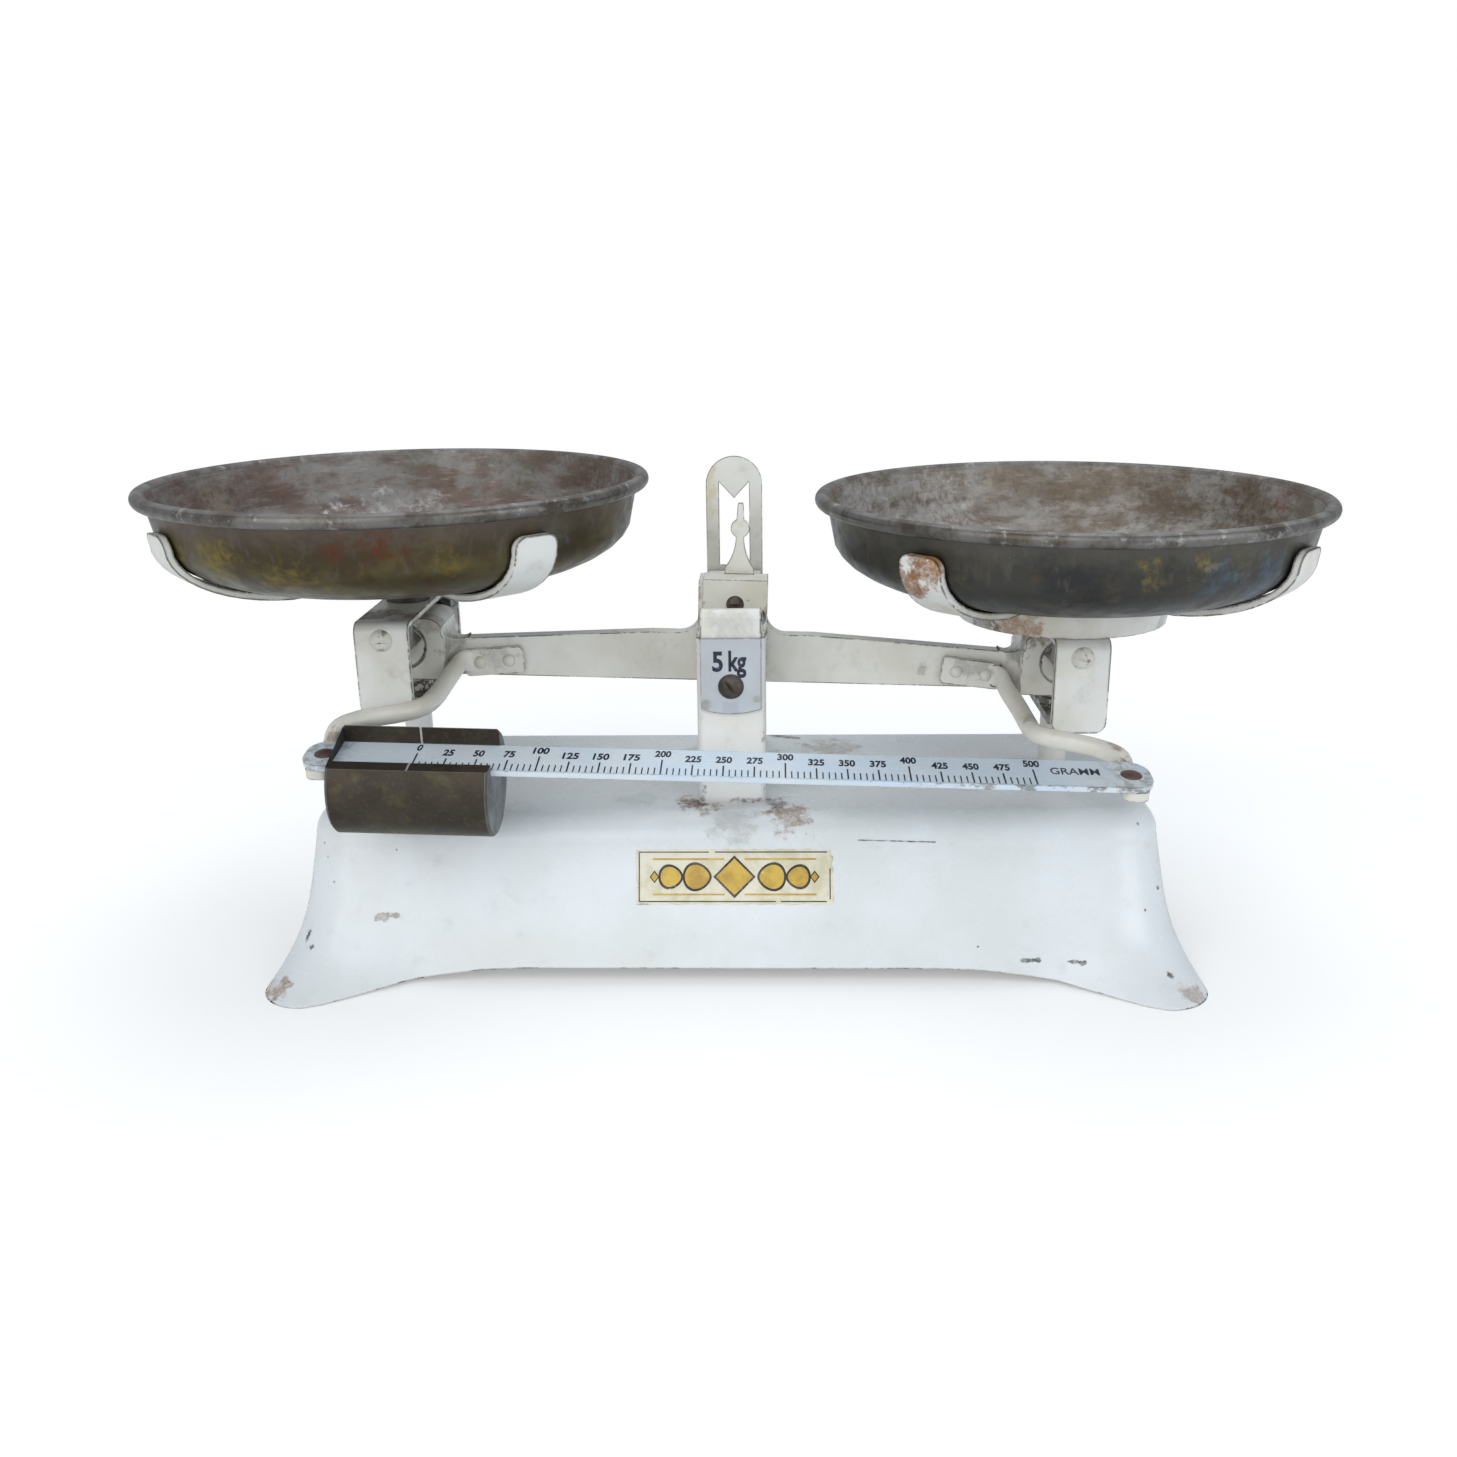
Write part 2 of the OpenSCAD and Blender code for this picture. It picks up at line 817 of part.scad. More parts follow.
module pointer_outline() {
  disc_z = pointer_h - 9.2;
  foot_h = 12;
  neck = 1.5;
  union() {
    difference() {
      translate([-5.3, 0])
        square([10.6, 14]);
      for (side = [-1, 1])
        translate([side * (neck + 19), 15.2])
          circle(r = 19);
    }
    translate([-neck, foot_h])
      square([2 * neck, disc_z - foot_h]);
    translate([0, disc_z])
      circle(r = pointer_disc_r);
    polygon([
      [-1.6, disc_z], [1.6, disc_z], [1.05, pointer_h - 1], [0.8, pointer_h],
      [-0.8, pointer_h], [-1.05, pointer_h - 1]
    ]);
  }
}

module pointer() {
  front = -head_t / 2 - pointer_t;
  blade_y = 2;
  color("cornsilk")
    on_beam()
      difference() {
        union() {
          translate([pointer_set - pointer_w / 2, front, knife_z + pointer_low])
            cube([pointer_w, pointer_t, head_rise - pointer_low + pointer_t]);
          translate([pointer_set - pointer_w / 2, front, head_top])
            cube([pointer_w, blade_y - front, pointer_t]);
          slab_y(blade_y - pointer_t, blade_y)
            translate([blade_set, head_top])
              pointer_outline();
        }
        translate([pointer_set, front, pointer_screw_z])
          rotate([90, 0, 0])
            cylinder(r = pointer_screw_r + fit_gap, h = 4 * pointer_t, center = true);
      }
}

module pointer_screw() {
  color("dimgray")
    on_beam()
      translate([pointer_set, -head_t / 2 - pointer_t, pointer_screw_z])
        face_screw(pointer_screw_d, 1.8, pointer_screw_r, pointer_t + 7, 0);
}

module centre_knife() {
  reach = post_in - stop_t - stop_gap;
  color("silver")
    on_beam()
      slab_y(-reach, reach)
        mid_knife_outline(0);
}

module end_knives() {
  reach = saddle_in - stop_t - stop_gap;
  color("silver")
    on_beam()
      for (side = [-1, 1])
        translate([side * arm_a, 0, 0])
          slab_y(-reach, reach)
            end_knife_outline(0);
}

// Rods: a swept round bar, flattened at the tab, then bent forward to the bar

rod_rivet_r = 1.5;
tab_x0 = 77;

// Places of a tab's two rivets, x and z: the outer one is lower
function rivet_at(i) =
  let (d = (i - 0.5) * rivet_step)
  [tab_x0 + tab_len / 2 + d * cos(tab_tilt), rivet_z - d * sin(tab_tilt)];

rod_sides = 14;
rod_steps = 3;

function cr(a, b, c, d, t) =
  0.5 * (2 * b + (c - a) * t + (2 * a - 5 * b + 4 * c - d) * t * t
    + (3 * b - a - 3 * c + d) * t * t * t);

// Route of the right rod: x, y and z, then its half height and half thickness
rod_route = [
  [tab_x0 + 10, -arm_t / 2 - tab_t / 2, rivet_z, tab_h / 2 - 0.4, tab_t / 2 - 0.1],
  [tab_x0 + 17, -arm_t / 2 - tab_t / 2, rivet_z - 0.6, tab_h / 2 - 0.4, tab_t / 2 - 0.1],
  [arm_a - 22.4, -arm_t / 2 - 2.7, rod_z - 0.1, 4, rod_d * 0.33],
  [arm_a - 19.9, -arm_t / 2 - 5.8, rod_z - 3.4, rod_d / 2, rod_d / 2],
  [arm_a - 17.4, -15, rod_z - 8.4, rod_d / 2, rod_d / 2],
  [arm_a - 14.8, -25, rod_z - 11.2, rod_d / 2, rod_d / 2],
  [arm_a - 13.2, -saddle_depth / 2 + 4.5, rod_z - 12, rod_d / 2, rod_d / 2],
  [arm_a - 11, -saddle_depth / 2 - 5, rod_z - 11.2, rod_d / 2, rod_d / 2],
  [arm_a - 4.5, -saddle_depth / 2 - 9, rod_z - 10.2, rod_d / 2, rod_d / 2],
  [arm_a + 5, -saddle_depth / 2 - 12.5, rod_z - 10, rod_d / 2, rod_d / 2],
  [bar_rivet_x - 0.1, -bar_y + 15.5, rod_z - 11, rod_d / 2, rod_d / 2],
  [bar_rivet_x + 0.2, -bar_y + 7, bar_z - 3.6, rod_d * 0.36, rod_d / 2],
  [bar_rivet_x, -bar_y + 1.5, bar_z - 2.4, 0.9, rod_d / 2]
];

function rod_at(i, t) =
  let (
    n = len(rod_route) - 1,
    a = rod_route[max(0, i - 1)],
    b = rod_route[i],
    c = rod_route[min(n, i + 1)],
    d = rod_route[min(n, i + 2)]
  )
  [for (k = [0:4]) cr(a[k], b[k], c[k], d[k], t)];

rod_line = concat(
  [for (i = [0:len(rod_route) - 2]) for (j = [0:rod_steps - 1]) rod_at(i, j / rod_steps)],
  [rod_route[len(rod_route) - 1]]
);

function unit(v) = v / norm(v);
function xyz(p) = [p[0], p[1], p[2]];

function rod_ring(i) =
  let (
    n = len(rod_line) - 1,
    t = unit(xyz(rod_line[min(n, i + 1)]) - xyz(rod_line[max(0, i - 1)])),
    up = unit([0, 0, 1] - t[2] * t),
    out = cross(up, t)
  )
  [for (j = [0:rod_sides - 1])
    let (a = 360 * j / rod_sides)
      xyz(rod_line[i]) + up * rod_line[i][3] * cos(a) + out * rod_line[i][4] * sin(a)];

module rod_sweep() {
  n = len(rod_line);
  pts = [for (i = [0:n - 1]) for (p = rod_ring(i)) p];
  last = (n - 1) * rod_sides;
  polyhedron(
    points = pts,
    faces = concat(
      [[for (j = [rod_sides - 1:-1:0]) j]],
      [for (i = [0:n - 2])
        for (j = [0:rod_sides - 1])
          for (half = [0, 1])
            let (
              k = (j + 1) % rod_sides,
              a = i * rod_sides + j,
              b = i * rod_sides + k,
              c = (i + 1) * rod_sides + k,
              d = (i + 1) * rod_sides + j
            )
            half == 0 ? [a, b, c] : [a, c, d]],
      [[for (j = [0:rod_sides - 1]) last + j]]
    ),
    convexity = 6
  );
}

pad_t = 2.2;

module rod_shape() {
  difference() {
    union() {
      slab_y(-arm_t / 2 - tab_t, -arm_t / 2)
        translate([tab_x0 + tab_len / 2, rivet_z])
          rotate([0, 0, -tab_tilt])
            round_rect(tab_len, tab_h, 1.6);
      difference() {
        rod_sweep();
        on_bar()
          translate([0, -20, -bar_t / 2])
            cube([200, 40, 20]);
      }
      on_bar()
        translate([bar_rivet_x, 1, -bar_t / 2 - pad_t])
          linear_extrude(height = pad_t)
            round_rect(bar_rivet_d, 13, 3);
    }
    for (i = [0, 1])
      translate([rivet_at(i)[0], -arm_t / 2 - tab_t, rivet_at(i)[1]])
        rotate([90, 0, 0]) {
          cylinder(r = rod_rivet_r + fit_gap, h = 4 * tab_t, center = true);
          cylinder(d = rod_rivet_d + 2 * fit_gap, h = 6);
        }
    on_bar()
      translate([bar_rivet_x, 0, -bar_t / 2 - pad_t]) {
        cylinder(r = bar_shank_r + fit_gap, h = 4 * pad_t, center = true);
        translate([0, 0, -8])
          cylinder(r = bar_foot_r + fit_gap, h = 8);
      }
  }
}

module left_rod() {
  color("floralwhite")
    on_beam()
      mirror([1, 0, 0])
        rod_shape();
}

module right_rod() {
  color("floralwhite")
    on_beam()
      rod_shape();
}

module rod_rivets() {
  color("floralwhite")
    on_beam()
      for (side = [-1, 1])
        for (i = [0, 1])
          translate([side * rivet_at(i)[0], 0, rivet_at(i)[1]]) {
            translate([0, -arm_t / 2 - tab_t, 0])
              to_front()
                dome(rod_rivet_d / 2, 1.3);
            translate([0, arm_t / 2, 0])
              rotate([-90, 0, 0])
                dome(rod_rivet_d / 2, 1);
            translate([0, arm_t / 2, 0])
              rotate([90, 0, 0])
                cylinder(r = rod_rivet_r, h = arm_t + tab_t);
          }
}

// Graduated bar and its end rivets

bar_shank_r = 1.8;
bar_foot_r = 3;

module scale_bar() {
  color("aliceblue")
    on_beam()
      on_bar()
        translate([0, 0, -bar_t / 2])
          linear_extrude(height = bar_t)
            difference() {
              round_rect(bar_len, bar_w, 7);
              for (side = [-1, 1])
                translate([side * bar_rivet_x, 0])
                  circle(r = bar_shank_r + fit_gap);
            }
}

module bar_rivets() {
  color("saddlebrown")
    on_beam()
      on_bar()
        for (side = [-1, 1])
          translate([side * bar_rivet_x, 0, 0]) {
            translate([0, 0, -bar_t / 2 - pad_t])
              cylinder(r = bar_shank_r, h = bar_t + pad_t);
            translate([0, 0, bar_t / 2])
              dome(bar_rivet_d / 2, 1.1);
            translate([0, 0, -bar_t / 2 - pad_t])
              mirror([0, 0, 1])
                dome(bar_foot_r, 1);
          }
}

// Poise: a slotted cylinder that rides on the bar

module poise_outline() {
  difference() {
    translate([0, -poise_drop])
      circle(d = poise_d);
    square([bar_w + 2 * slot_gap, bar_t + 2 * slot_gap], center = true);
    translate([-slot_open / 2, 0])
      square([slot_open, poise_d]);
  }
}

module poise() {
  edge = 0.8;
  color("darkgoldenrod")
    on_beam()
      on_bar()
        translate([-zero_x, 0, 0])
          difference() {
            intersection() {
              slab_x(-poise_len / 2, poise_len / 2)
                poise_outline();
              translate([-poise_len / 2, 0, -poise_drop])
                rotate([0, 90, 0])
                  rotate_extrude()
                    polygon([
                      [0, 0], [poise_d / 2 - edge, 0], [poise_d / 2, edge],
                      [poise_d / 2, poise_len - edge], [poise_d / 2 - edge, poise_len],
                      [0, poise_len]
                    ]);
            }
            translate([-poise_len / 2 - 1, 0, -poise_drop - 5])
              rotate([0, 90, 0])
                cylinder(d = chamber_d, h = chamber_len + 1);
          }
}

module poise_plug() {
  color("goldenrod")
    on_beam()
      on_bar()
        translate([-zero_x - poise_len / 2 + 0.4, 0, -poise_drop - 5])
          rotate([0, 90, 0])
            difference() {
              cylinder(d = chamber_d - 2 * fit_gap, h = 5);
              translate([-1, -chamber_d / 2, -1])
                cube([2, chamber_d, 2.4]);
            }
}

// Saddles: pressed stirrups that hang on the end knives

module saddle_section() {
  outer_r = 4;
  difference() {
    union() {
      translate([-saddle_depth / 2, -saddle_drop])
        square([saddle_depth, saddle_drop + saddle_rise - outer_r]);
      translate([-saddle_depth / 2 + outer_r, 0])
        square([saddle_depth - 2 * outer_r, saddle_rise]);
      for (side = [-1, 1])
        translate([side * (saddle_depth / 2 - outer_r), saddle_rise - outer_r])
          circle(r = outer_r);
    }
    translate([-saddle_in, -saddle_drop - 1])
      square([2 * saddle_in, saddle_drop + 1 + saddle_rise - saddle_t]);
  }
}

module saddle(side) {
  screw_dz = -1;
  on_carrier(side)
    translate([0, 0, knife_z])
      difference() {
        intersection() {
          slab_x(-saddle_w, saddle_w)
            saddle_section();
          slab_y(-saddle_depth, saddle_depth)
            translate([0, (saddle_rise - saddle_drop) / 2 + 5])
              round_rect(saddle_w, saddle_rise + saddle_drop + 10, 4);
        }
        for (a = [0, 180])
          rotate([0, 0, a])
            translate([0, -saddle_depth / 2, screw_dz])
              rotate([90, 0, 0])
                cylinder(r = screw_shank_r + fit_gap, h = 6 * saddle_t, center = true);
        translate([0, saddle_depth / 2, -14])
          rotate([90, 0, 0])
            cylinder(d = saddle_hole_d, h = 6 * saddle_t, center = true);
        cylinder(d = cradle_bolt_d + 2 * fit_gap, h = 60);
      }
}

module left_saddle() {
  color("ghostwhite")
    saddle(-1);
}

module right_saddle() {
  color("ghostwhite")
    saddle(1);
}

module end_bearings(side) {
  under = saddle_rise - saddle_t;
  on_carrier(side)
    for (a = [0, 180])
      rotate([0, 0, a])
        translate([0, saddle_in - vee_len - stop_t, knife_z + knife_gap])
          difference() {
            mirror([0, 0, 1])
              vee_block(saddle_w - 1.6, 6, under - knife_gap, 1 + knife_gap, screw_shank_r);
          }
}

module left_bearings() {
  color("slategray")
    end_bearings(-1);
}

module right_bearings() {
  color("slategray")
    end_bearings(1);
}

module saddle_screws(side) {
  on_carrier(side)
    for (a = [0, 180])
      rotate([0, 0, a])
        translate([0, -saddle_depth / 2, knife_z - 1])
          face_screw(7.8, 2.2, screw_shank_r, saddle_t + stop_t, 8 + side * 12);
}

module left_saddle_screws() {
  color("gainsboro")
    saddle_screws(-1);
}

module right_saddle_screws() {
  color("gainsboro")
    saddle_screws(1);
}

// Yoke: a bent strip inside the saddle that carries the stem

yoke_tab = saddle_drop - 16;

module yoke(side) {
  flat = 17;
  low = -yoke_drop - yoke_t;
  rise = -saddle_drop + 1;
  on_carrier(side)
    translate([0, 0, knife_z])
      difference() {
        slab_x(-yoke_w / 2, yoke_w / 2)
          polygon([
            [-saddle_in, rise + yoke_tab], [-saddle_in, rise], [-flat - 1, low], [flat + 1, low],
            [saddle_in, rise], [saddle_in, rise + yoke_tab],
            [saddle_in - yoke_t, rise + yoke_tab], [saddle_in - yoke_t, rise + 2],
            [flat, low + yoke_t], [-flat, low + yoke_t],
            [-saddle_in + yoke_t, rise + 2], [-saddle_in + yoke_t, rise + yoke_tab]
          ]);
        translate([0, 0, low - 1])
          cylinder(r = spigot_r + fit_gap, h = yoke_t + 2);
        translate([0, saddle_in, -14])
          rotate([90, 0, 0])
            cylinder(d = saddle_hole_d, h = 4 * yoke_t, center = true);
      }
}

module left_yoke() {
  color("gray")
    yoke(-1);
}

module right_yoke() {
  color("gray")
    yoke(1);
}

// Stems: round bars through the base's top, with a flat blade at the foot

spigot_r = 3;
nut_h = 2.6;

module stem(side) {
  top = knife_z - yoke_drop - yoke_t;
  shoulder = stay_z + 14;
  on_carrier(side)
    difference() {
      union() {
        translate([0, 0, shoulder])
          cylinder(d = stem_d, h = top - shoulder);
        translate([0, 0, top - 1])
          cylinder(r = spigot_r, h = yoke_t + 1 + nut_h);
        intersection() {
          union() {
            translate([-stem_d / 2, -blade_t / 2, stay_z])
              cube([stem_d, blade_t, 20]);
            translate([0, 0, stay_z])
              rotate([90, 0, 0])
                cylinder(d = stem_d, h = blade_t, center = true);
          }
          translate([0, 0, stay_z - 20])
            cylinder(d = stem_d, h = 40);
        }
      }
      translate([0, 0, stay_z])
        rotate([90, 0, 0])
          cylinder(r = link_r + pin_gap, h = 3 * blade_t, center = true);
    }
}

module left_stem() {
  color("whitesmoke")
    stem(-1);
}

module right_stem() {
  color("whitesmoke")
    stem(1);
}

module stem_nut(side) {
  on_carrier(side)
    translate([0, 0, knife_z - yoke_drop])
      difference() {
        cylinder(r = 6.6, h = nut_h, $fn = 6);
        translate([0, 0, -1])
          cylinder(r = spigot_r + fit_gap, h = nut_h + 2);
      }
}

module left_stem_nut() {
  color("dimgray")
    stem_nut(-1);
}

module right_stem_nut() {
  color("dimgray")
    stem_nut(1);
}

// What lies between a saddle and its cradle

module left_spacer() {
  color("gray")
    on_carrier(-1)
      translate([0, 0, saddle_top])
        difference() {
          cylinder(d = spacer_d, h = disc_h);
          translate([0, 0, -1])
            cylinder(d = cradle_bolt_d + 2 * fit_gap, h = disc_h + 2);
        }
}

module counter_disc() {
  color("linen")
    on_carrier(1)
      translate([0, 0, saddle_top])
        difference() {
          cylinder(d1 = disc_d - 3, d2 = disc_d, h = disc_h);
          translate([0, 0, -1])
            cylinder(d = cradle_bolt_d + 2 * fit_gap, h = disc_h + 2);
        }
}

module cradle_bolt(side) {
  on_carrier(side) {
    translate([0, 0, saddle_top - saddle_t])
      cylinder(d = cradle_bolt_d, h = saddle_t + disc_h + claw_t * 0.6);
    translate([0, 0, cradle_z + claw_t * 0.5])
      cylinder(d = cradle_bolt_d + 4, h = claw_t * 0.5);
  }
}

module left_cradle_bolt() {
  color("dimgray")
    cradle_bolt(-1);
}

module right_cradle_bolt() {
  color("dimgray")
    cradle_bolt(1);
}

// Bowl outline: half section, x is the radius

bead_r = bowl_bead_d / 2;
neck_r = bowl_d / 2 - bowl_bead_d + bowl_wall * 0.8;
wall_r = neck_r - 2.6;
round_h = bowl_h * 0.56;
bowl_steps = 9;

function bowl_curve(grow) = concat(
  [for (i = [0:bowl_steps])
    let (a = 90 * i / bowl_steps)
      [
        bowl_flat_d / 2 + (wall_r - bowl_flat_d / 2 + grow) * sin(a),
        -grow + (round_h + grow) * (1 - cos(a))
      ]],
  [[neck_r + grow, bowl_h - bead_r]]
);

function flip(list) = [for (i = [len(list) - 1:-1:0]) list[i]];
function tail(list) = [for (i = [1:len(list) - 1]) list[i]];

module bowl(side) {
  outer = bowl_curve(0);
  inner = bowl_curve(-bowl_wall);
  on_carrier(side)
    translate([0, 0, bowl_z])
      rotate_extrude($fn = 96)
        union() {
          polygon(concat([[0, 0]], outer, flip(inner), [[0, bowl_wall]]));
          translate([bowl_d / 2 - bead_r, bowl_h - bead_r])
            circle(r = bead_r);
        }
}

module left_bowl() {
  color("olive")
    bowl(-1);
}

module right_bowl() {
  color("darkolivegreen")
    bowl(1);
}

// Cradles: three bent strips that follow the bowl's outside

module claw(angle) {
  reach = neck_r + claw_gap + claw_t;
  tip = bowl_h - bowl_bead_d - claw_drop;
  flat = bowl_flat_d / 2 - 2;
  inner = concat([[0, 0], [flat, 0]], tail(bowl_curve(claw_gap)));
  outer = concat([[0, -claw_t], [flat, -claw_t]], tail(bowl_curve(claw_gap + claw_t)));
  rotate([0, 0, angle])
    intersection() {
      slab_y(-claw_w, claw_w)
        polygon(concat(outer, flip(inner)));
      slab_x(-1, reach + 5)
        translate([0, (tip - 30) / 2])
          round_rect(claw_w, tip + 30, 7);
    }
}

module cradle() {
  difference() {
    union() {
      translate([0, 0, -claw_t])
        cylinder(d = claw_hub_d, h = claw_t);
      for (a = [-10, -130, 110])
        claw(a);
    }
    translate([0, 0, -2 * claw_t])
      cylinder(d = cradle_bolt_d + 2 * fit_gap, h = 4 * claw_t);
    translate([0, 0, -claw_t * 0.5])
      cylinder(d = cradle_bolt_d + 4 + 2 * fit_gap, h = 4 * claw_t);
  }
}

module left_cradle() {
  color("snow")
    on_carrier(-1)
      translate([0, 0, bowl_z])
        mirror([1, 0, 0])
          cradle();
}

module right_cradle() {
  color("snow")
    on_carrier(1)
      translate([0, 0, bowl_z])
        cradle();
}

// Stay: the lower arm of the parallelogram, forked round the stems' blades

fork_in = blade_t / 2 + blade_gap;
fork_out = fork_in + cheek_t;
eye_gap = 1;

module stay_bar() {
  block_x = arm_a - stem_d / 2 - 6;
  color("gray")
    on_stay()
      translate([0, 0, stay_z])
        difference() {
          union() {
            slab_y(-stay_t / 2, stay_t / 2)
              polygon([
                [-block_x, -stay_h * 0.33], [0, -stay_h / 2], [block_x, -stay_h * 0.33],
                [block_x, stay_h * 0.33], [0, stay_h / 2], [-block_x, stay_h * 0.33]
              ]);
            rotate([90, 0, 0])
              cylinder(r = eye_r, h = 2 * (bracket_in - blade_gap), center = true);
            for (side = [-1, 1])
              difference() {
                slab_y(-fork_out, fork_out)
                  union() {
                    translate([side > 0 ? block_x - 12 : -arm_a, -4.6])
                      square([arm_a - block_x + 12, 9.2]);
                    translate([side * arm_a, 0])
                      circle(r = 4.6);
                  }
                slab_y(-fork_in, fork_in)
                  translate([side * (arm_a + 10), 0])
                    square([stem_d + 2 * eye_gap + 20, 20], center = true);
              }
          }
          rotate([90, 0, 0])
            cylinder(r = pivot_r + pin_gap, h = 60, center = true);
          for (side = [-1, 1])
            translate([side * arm_a, 0, 0])
              rotate([90, 0, 0])
                cylinder(r = link_r + fit_gap, h = 60, center = true);
        }
}

module stay_pins() {
  color("silver")
    on_stay()
      for (side = [-1, 1])
        translate([side * arm_a, 0, stay_z]) {
          rotate([90, 0, 0])
            cylinder(r = link_r, h = 2 * fork_out, center = true);
          for (face = [-1, 1])
            translate([0, face * fork_out, 0])
              rotate([-90 * face, 0, 0])
                dome(link_r + 1.2, 1.2);
        }
}

base_shell();
post_front();
post_rear();
post_tie();
tie_rivets();
curl_pins();
centre_bearings();
capacity_plate();
capacity_screw();
index_frame();
frame_screws();
stay_bracket();
stay_pivot();
beam_casting();
pointer();
pointer_screw();
centre_knife();
end_knives();
left_rod();
right_rod();
rod_rivets();
scale_bar();
bar_rivets();
left_saddle();
left_bearings();
left_saddle_screws();
left_yoke();
left_stem();
left_stem_nut();
left_spacer();
left_cradle();
left_cradle_bolt();
right_saddle();
right_bearings();
right_saddle_screws();
right_yoke();
right_stem();
right_stem_nut();
counter_disc();
right_cradle();
right_cradle_bolt();
left_bowl();
right_bowl();
poise();
poise_plug();
stay_bar();
stay_pins();
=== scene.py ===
"""Looks of the kitchen balance scale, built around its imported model."""

import json
import math

import bmesh
import bpy
from mathutils import Matrix, Vector
from mathutils.bvhtree import BVHTree


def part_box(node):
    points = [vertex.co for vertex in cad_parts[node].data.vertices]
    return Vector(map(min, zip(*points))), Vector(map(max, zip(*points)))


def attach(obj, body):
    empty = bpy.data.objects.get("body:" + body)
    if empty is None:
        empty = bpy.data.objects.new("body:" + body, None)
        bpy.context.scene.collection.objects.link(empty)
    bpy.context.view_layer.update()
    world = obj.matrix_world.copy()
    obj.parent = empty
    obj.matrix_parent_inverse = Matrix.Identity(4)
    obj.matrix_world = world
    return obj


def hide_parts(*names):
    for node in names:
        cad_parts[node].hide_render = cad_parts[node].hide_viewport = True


bl_info = {
    "name": "Kitchen Balance Scale",
    "version": (1, 0, 0),
    "blender": (4, 5, 0),
    "location": "View3D > Sidebar > Balance",
    "description": "Dresses the packed kitchen balance scale",
    "category": "Object",
}

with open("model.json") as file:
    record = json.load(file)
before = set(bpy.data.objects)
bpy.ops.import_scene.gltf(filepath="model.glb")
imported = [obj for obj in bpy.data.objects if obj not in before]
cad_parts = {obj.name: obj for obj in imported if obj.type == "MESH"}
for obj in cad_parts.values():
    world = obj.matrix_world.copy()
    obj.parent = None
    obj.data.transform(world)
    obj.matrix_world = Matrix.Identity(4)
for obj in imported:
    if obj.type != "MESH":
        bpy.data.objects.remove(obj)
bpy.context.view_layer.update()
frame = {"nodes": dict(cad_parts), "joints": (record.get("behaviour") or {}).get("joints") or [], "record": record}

# Places that come with the frame, in metres

JOINTS = {joint["name"]: joint for joint in frame["joints"]}
KNIFE = Vector(JOINTS["beam_tilt"]["pos_m"])
LEFT_PIN = Vector(JOINTS["left_carrier_level"]["pos_m"])
RIGHT_PIN = Vector(JOINTS["right_carrier_level"]["pos_m"])
TILT = math.atan2(LEFT_PIN.z - RIGHT_PIN.z, RIGHT_PIN.x - LEFT_PIN.x)


BODY_OF = {node: body for body, nodes in frame["record"]["behaviour"]["bodies"].items() for node in nodes}
TREES = {}


def on_front(node, x, z):
    """Place in millimetres where a line from the front meets a CAD node."""
    if node not in TREES:
        build = shape(node)
        TREES[node] = BVHTree.FromBMesh(build)
        build.free()
    hit = TREES[node].ray_cast(Vector((x / 1000, -1.0, z / 1000)), Vector((0.0, 1.0, 0.0)))
    if hit[0] is None:
        raise RuntimeError(f"no {node} at {x}, {z}")
    return hit[0] * 1000, hit[1]


def axis_of_bowl(node):
    """Centre of a bowl's foot: x, y and lowest z."""
    low, high = (Vector(corner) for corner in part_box(node))
    return Vector(((low.x + high.x) / 2, (low.y + high.y) / 2, low.z))


# Colours, linear

# Near black, used for soot, specks and scratches, and for painted shade in the corners of bare metal
SOOT_AND_SHADE = (0.022, 0.019, 0.017)
RUST = (0.26, 0.105, 0.026)
RUST_DARK = (0.085, 0.036, 0.014)
# Used for grime, and for painted shade in the enamels' corners and on the beam's hub ends
GRIME_AND_SHADE = (0.20, 0.16, 0.11)
# Grey used for dirt, and for painted shadow on the beam's hub ends under the bowls
GREY_DIRT_AND_SHADE = (0.17, 0.16, 0.14)
SMOKE_BLUE = (0.30, 0.35, 0.42)
CHALK = (0.66, 0.66, 0.67)
YELLOWED = (0.60, 0.44, 0.16)
GOLD_PATCH = (0.25, 0.19, 0.035)
EMBER = (0.12, 0.036, 0.018)
STEEL_BLUE = (0.10, 0.16, 0.24)


def part(value, node_socket):
    """Links a socket or sets a plain value on another socket."""
    if isinstance(value, bpy.types.NodeSocket):
        node_socket.id_data.links.new(value, node_socket)
    elif node_socket.type == "RGBA":
        node_socket.default_value = (*value, 1.0)
    else:
        node_socket.default_value = value


